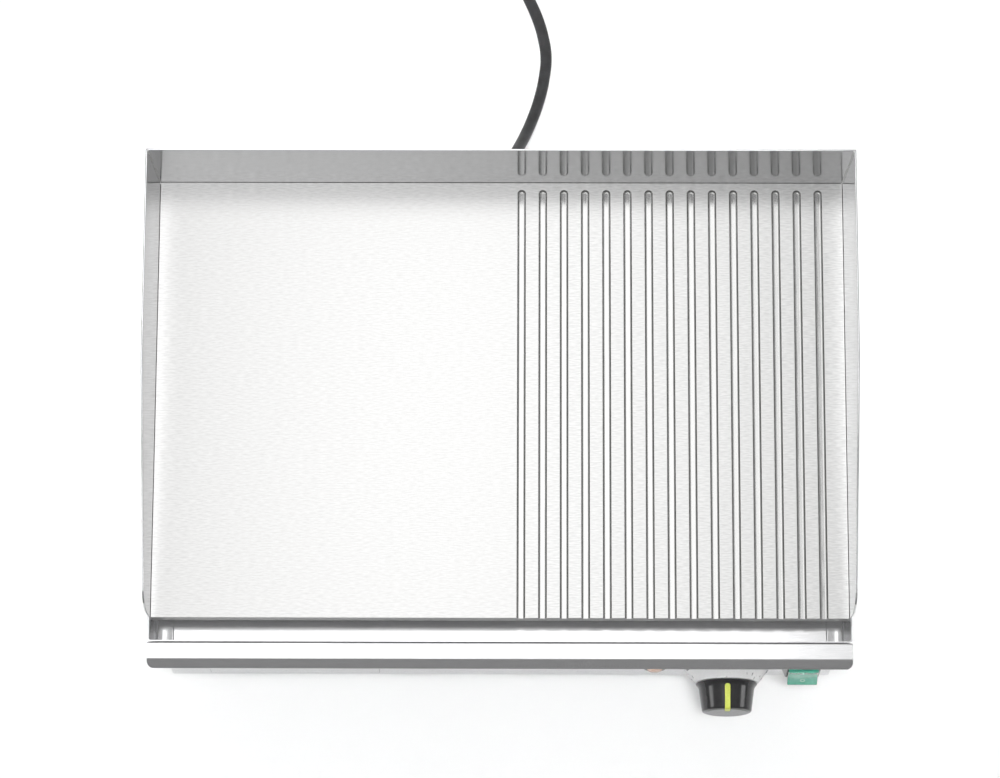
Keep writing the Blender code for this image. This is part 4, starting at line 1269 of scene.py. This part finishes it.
def rocker_point(across, up, lift):
    depth, z = tilted(rocker_face(up) + lift, up)
    return at(SWITCH_X / MM + across, depth, z)


def rocker_bar(middle_up, half_width, half_height):
    """The bar of the on mark, lying along the dished face."""
    rings = []
    for step in range(9):
        up = middle_up - half_height + 2 * half_height * step / 8
        low, high = -0.3, 0.12
        ring = [(-half_width, low), (half_width, low), (half_width, high), (-half_width, high)]
        rings.append([rocker_point(a, up, lift) for a, lift in ring])
    return loft(rings)


def rocker_ring(middle_up, outer, inner):
    """The ring of the off mark, lying along the dished face."""
    rings = []
    for step in range(40):
        angle = 2 * math.pi * step / 40
        cos, sin = math.cos(angle), math.sin(angle)
        section = ((outer, -0.3), (outer, 0.12), (inner, 0.12), (inner, -0.3))
        rings.append([rocker_point(r * cos, middle_up + r * sin, lift) for r, lift in section])
    return loft(rings, closed=True)


def add_switch_housing():
    """The frame of the switch, which narrows towards its front."""
    x, z = SWITCH_X / MM, CONTROLS_Z / MM
    sizes = ((FACE - 0.3, 16.2, 20), (FACE - 1.2, 16.2, 20), (FACE - 2, 15.8, 19.6), (FACE - 9.4, 13.1, 17))
    rings = []
    for depth, half_x, half_z in sizes:
        outline = rounded_rectangle((x - half_x, z - half_z), (x + half_x, z + half_z), 1.5, 5)
        rings.append([at(a, depth, b) for a, b, _ in outline])
    barrel = box((x - 13.7, x + 13.7), (FACE - 1, FACE + 22), (z - 16.2, z + 16.2))
    well = box((x - 12.1, x + 12.1), (FACE - 15, FACE + 8), (z - 15.2, z + 15.2))
    bm = carved(carved(loft(rings), barrel, operation="UNION"), well)
    softened(bm, 0.35, 2, 40)
    piece("switch_frame", bm, black_plastic(), "root", ["switch_housing"], 35)


# Rear fittings and feet


def add_strain_relief():
    """A tapered sleeve with flexing rings behind its collar."""
    profile = [(0, -9), (8, -9), (8, 0.3), (11.6, 0.3), (12, 0.7), (12, 3.1), (11.6, 3.5)]
    profile += [(9.6, 3.9), (9.2, 4.6)]
    for index in range(6):
        start = 5.2 + index * 3.9
        big = 9.1 - 0.48 * index
        small = big - 1.1
        profile += [(big, start), (big, start + 2.1), (small, start + 2.5), (small - 0.06, start + 3.5)]
    profile += [(5.9, 28.8), (5.5, 29.5), (5.2, 29.8), (0, 29.8)]
    bm = softened(turned(profile, rear_point("strain_relief"), BACKWARD, 64), 0.15, 2, 40)
    return piece("cord_sleeve", bm, rubber(), stands_for=["strain_relief"], smooth_below=60)


def add_reset_button():
    profile = [(0, -3), (3, -3), (3, 6)]
    profile += arc((2, 6), 1, 0, 90, 5)[1:] + [(0.8, 6.75), (0, 6.7)]
    bm = turned(profile, rear_point("reset_button"), BACKWARD, 48)
    piece("reset_button_cap", bm, rubber(), "reset_button", ["reset_button"])


def add_feet():
    for place in ("front", "rear"):
        for word in ("left", "right"):
            node = f"foot_pad_{place}_{word}"
            centre = middle(node)
            centre.z = 0
            profile = [(0, 0.6), (12, 0.6), (12.6, 0), (17.4, 0)]
            profile += arc((17.4, 1.6), 1.6, -90, 10, 6)[1:]
            profile += [(18.4, 5), (18, 5.3), (18, 6.7), (18.3, 7), (16.2, 26)]
            profile += arc((14.4, 27.2), 1.8, -5, 90, 6)[1:]
            profile += [(4.4, 29), (4.4, 18), (0, 18)]
            bm = turned(profile, centre, UP, 72)
            name = f"foot_{place}_{word}"
            piece(name + "_pad", bm, rubber(), name, [node], 40)


# Mains cord

CORD_DIAMETER = 9.5
CORD_ROUTE = (
    (2, 362.3, 60),
    (2, 377, 60),
    (3.5, 392, 55),
    (7, 408, 42.5),
    (12.5, 424, 27),
    (18.5, 440, 13.5),
    (24.3, 456, 6.4),
    (30.2, 474, 4.9),
    (34.5, 494, 4.9),
    (36, 512, 4.9),
    (33.6, 529, 4.9),
    (28.8, 546, 4.9),
    (21.6, 563, 4.9),
    (13.4, 581.3, 4.9),
    (5.2, 599.5, 4.9),
    (-2.8, 617.2, 5.2),
    (-11.3, 636.3, 5.7),
    (-18.8, 653, 5.9),
)
WIDE_TURN = 60.75
TIGHT_TURN = 51.25
LOW_LAYER = 5.95
HIGH_LAYER = 15.45
COIL_START = 24.2
COIL_END = 90
POINTS_PER_TURN = 24


def eased(value, start, end):
    """From 0 to 1 between start and end, level at both."""
    share = min(1, max(0, (value - start) / (end - start)))
    return (1 - math.cos(math.pi * share)) / 2


def coil_points():
    """Nearly two turns on the floor, wide then tight, and one on top of them, tight then wide."""
    total = 3 + (COIL_END - COIL_START) / 360
    count = round(total * POINTS_PER_TURN)
    points = []
    for index in range(count + 1):
        turn = total * index / count
        angle = math.radians(COIL_START + 360 * turn)
        narrowing = eased(turn, 0.76, 1.0) - eased(turn, 2.59, 2.83)
        radius = WIDE_TURN + (TIGHT_TURN - WIDE_TURN) * narrowing
        z = LOW_LAYER + (HIGH_LAYER - LOW_LAYER) * eased(turn, 1.67, 1.91)
        offset = Vector((math.cos(angle), math.sin(angle), 0)) * radius * MM
        points.append(Vector((COIL_CENTRE.x, COIL_CENTRE.y, z * MM)) + offset)
    return points


def add_power_cord(pieces_on_it):
    plug = middle("mains_plug")
    lead = [at(*point) for point in CORD_ROUTE]
    coil = coil_points()
    last = coil[-1]
    run = []
    for share in (0.35, 0.7, 1.03):
        x = last.x + (PLUG_START - last.x) * share
        z = last.z + (plug.z - last.z) * eased(share, 0.1, 0.9)
        run.append(Vector((x, last.y, z)))
    curve = bpy.data.curves.new("mains_lead", "CURVE")
    curve.dimensions = "3D"
    curve.bevel_depth = CORD_DIAMETER / 2 * MM
    curve.bevel_resolution = 6
    curve.resolution_u = 5
    curve.use_fill_caps = True
    spline = curve.splines.new("BEZIER")
    points = lead + coil + run
    spline.bezier_points.add(len(points) - 1)
    for knot, point in zip(spline.bezier_points, points):
        knot.co = point
        knot.handle_left_type = knot.handle_right_type = "AUTO"
    curve.materials.append(rubber().material)
    cord = bpy.data.objects.new("mains_lead", curve)
    bpy.context.scene.collection.objects.link(cord)
    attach(cord, "root")
    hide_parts("power_cord", "cord_coil")


def add_cord_tie():
    """A strap round the four strands of the coil."""
    low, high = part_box("cord_tie")
    half_x, half_z = (high.x - low.x) / 2 / MM - 0.6, (high.z - low.z) / 2 / MM - 0.5
    centre = (low + high) / 2
    rings = []
    for a, b, angle in rounded_rectangle((-half_x, -half_z), (half_x, half_z), 5.2, 6):
        out = Vector((math.cos(math.radians(angle)), 0, math.sin(math.radians(angle))))
        base = centre + Vector((a, 0, b)) * MM
        section = ((-5, -0.45), (5, -0.45), (5, 0.45), (-5, 0.45))
        rings.append([base + Vector((0, across, 0)) * MM + out * lift * MM for across, lift in section])
    bm = softened(loft(rings, closed=True), 0.2, 2, 50)
    return piece("cord_strap", bm, black_plastic(), stands_for=["cord_tie"])


def add_plug():
    """A round two-pin plug with a ribbed boot, a fluted grip and side earth contacts."""
    low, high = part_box("mains_plug")
    plug = (low + high) / 2
    centre = Vector((PLUG_START, plug.y, plug.z))
    profile = [(0, 0), (5.4, 0), (6, 0.6)]
    for index in range(4):
        start = 1.6 + index * 3.8
        radius = 6.4 + 0.55 * index
        profile += [(radius, start), (radius + 0.2, start + 2.2)]
        profile += [(radius - 0.7, start + 2.6), (radius - 0.6, start + 3.4)]
    profile += [(8.6, 17), (9.6, 17.8), (12.2, 19), (14.4, 21), (16.2, 24.5), (17.6, 29), (18.3, 33)]
    profile += [(18.5, 36 + 2 * s) for s in range(8)]
    profile += [(18.5, 52.4)] + arc((17.3, 52.8), 1.2, 0, 90, 5)[1:] + [(16.4, 54), (16, 53.7), (0, 53.7)]
    bm = turned(profile, centre, LEFTWARD, 144, plug_flutes)
    grooves = []
    start = PLUG_START / MM
    depth = depth_of(plug)
    z = plug.z / MM
    for side in (-1, 1):
        span = sorted((z + side * 16.8, z + side * 19.5))
        grooves.append(box((start - 54.5, start - 36), (depth - 3, depth + 3), span))
    bm = carved(bm, *grooves)
    softened(bm, 0.2, 2, 50)
    body = piece("plug_body", bm, rubber(), stands_for=["mains_plug"], smooth_below=40)
    return [body, *add_earth_contacts(plug), *add_plug_pins()]


def plug_flutes(angle, out):
    """The grip's flutes, between the boot and the plug's face."""
    return -0.45 * (23 < out < 50) * max(0.0, math.cos(24 * angle)) ** 2


def add_earth_contacts(plug):
    """The sprung strips in the plug's two side grooves."""
    made = []
    depth = depth_of(plug)
    z = plug.z / MM
    start = PLUG_START / MM
    for word, side in (("low", -1), ("high", 1)):
        path = [(start - 37, z + side * 17.2), (start - 44, z + side * 17.9), (start - 53, z + side * 17.2)]
        outline = sheet_outline(rounded(path, 6, 6), 0.6)
        bm = loft([[at(a, across, b) for a, b in outline] for across in (depth - 2.2, depth + 2.2)])
        softened(bm, 0.12, 2, 50)
        made.append(piece(f"earth_contact_{word}", bm, plug_nickel()))
    return made


def add_plug_pins():
    made = []
    for word in ("front", "rear"):
        node = f"plug_pin_{word}"
        pin = middle(node)
        centre = Vector((PLUG_START, pin.y, pin.z))
        profile = [(0, 53.9), (2.4, 53.9), (2.4, 71.2)]
        profile += arc((0.9, 71.2), 1.5, 0, 90, 6)[1:] + [(0, 72.7)]
        bm = turned(profile, centre, LEFTWARD, 40)
        made.append(piece(f"plug_prong_{word}", bm, plug_nickel(), stands_for=[node]))
    return made


def build():
    add_camera()
    add_studio()
    add_floor()
    paint_nodes()
    sleeve = add_strain_relief()
    add_power_cord([sleeve, add_cord_tie(), *add_plug()])
    add_griddle_plate()
    add_splash_guard()
    add_grease_gutter()
    add_front_rim()
    add_control_panel()
    add_side_panel("left", -1)
    add_side_panel("right", 1)
    add_rear_panel()
    add_drip_tray()
    add_screws()
    add_pilot_lamp()
    add_dial_ring()
    add_knob()
    add_rocker()
    add_switch_housing()
    add_reset_button()
    add_feet()


build()
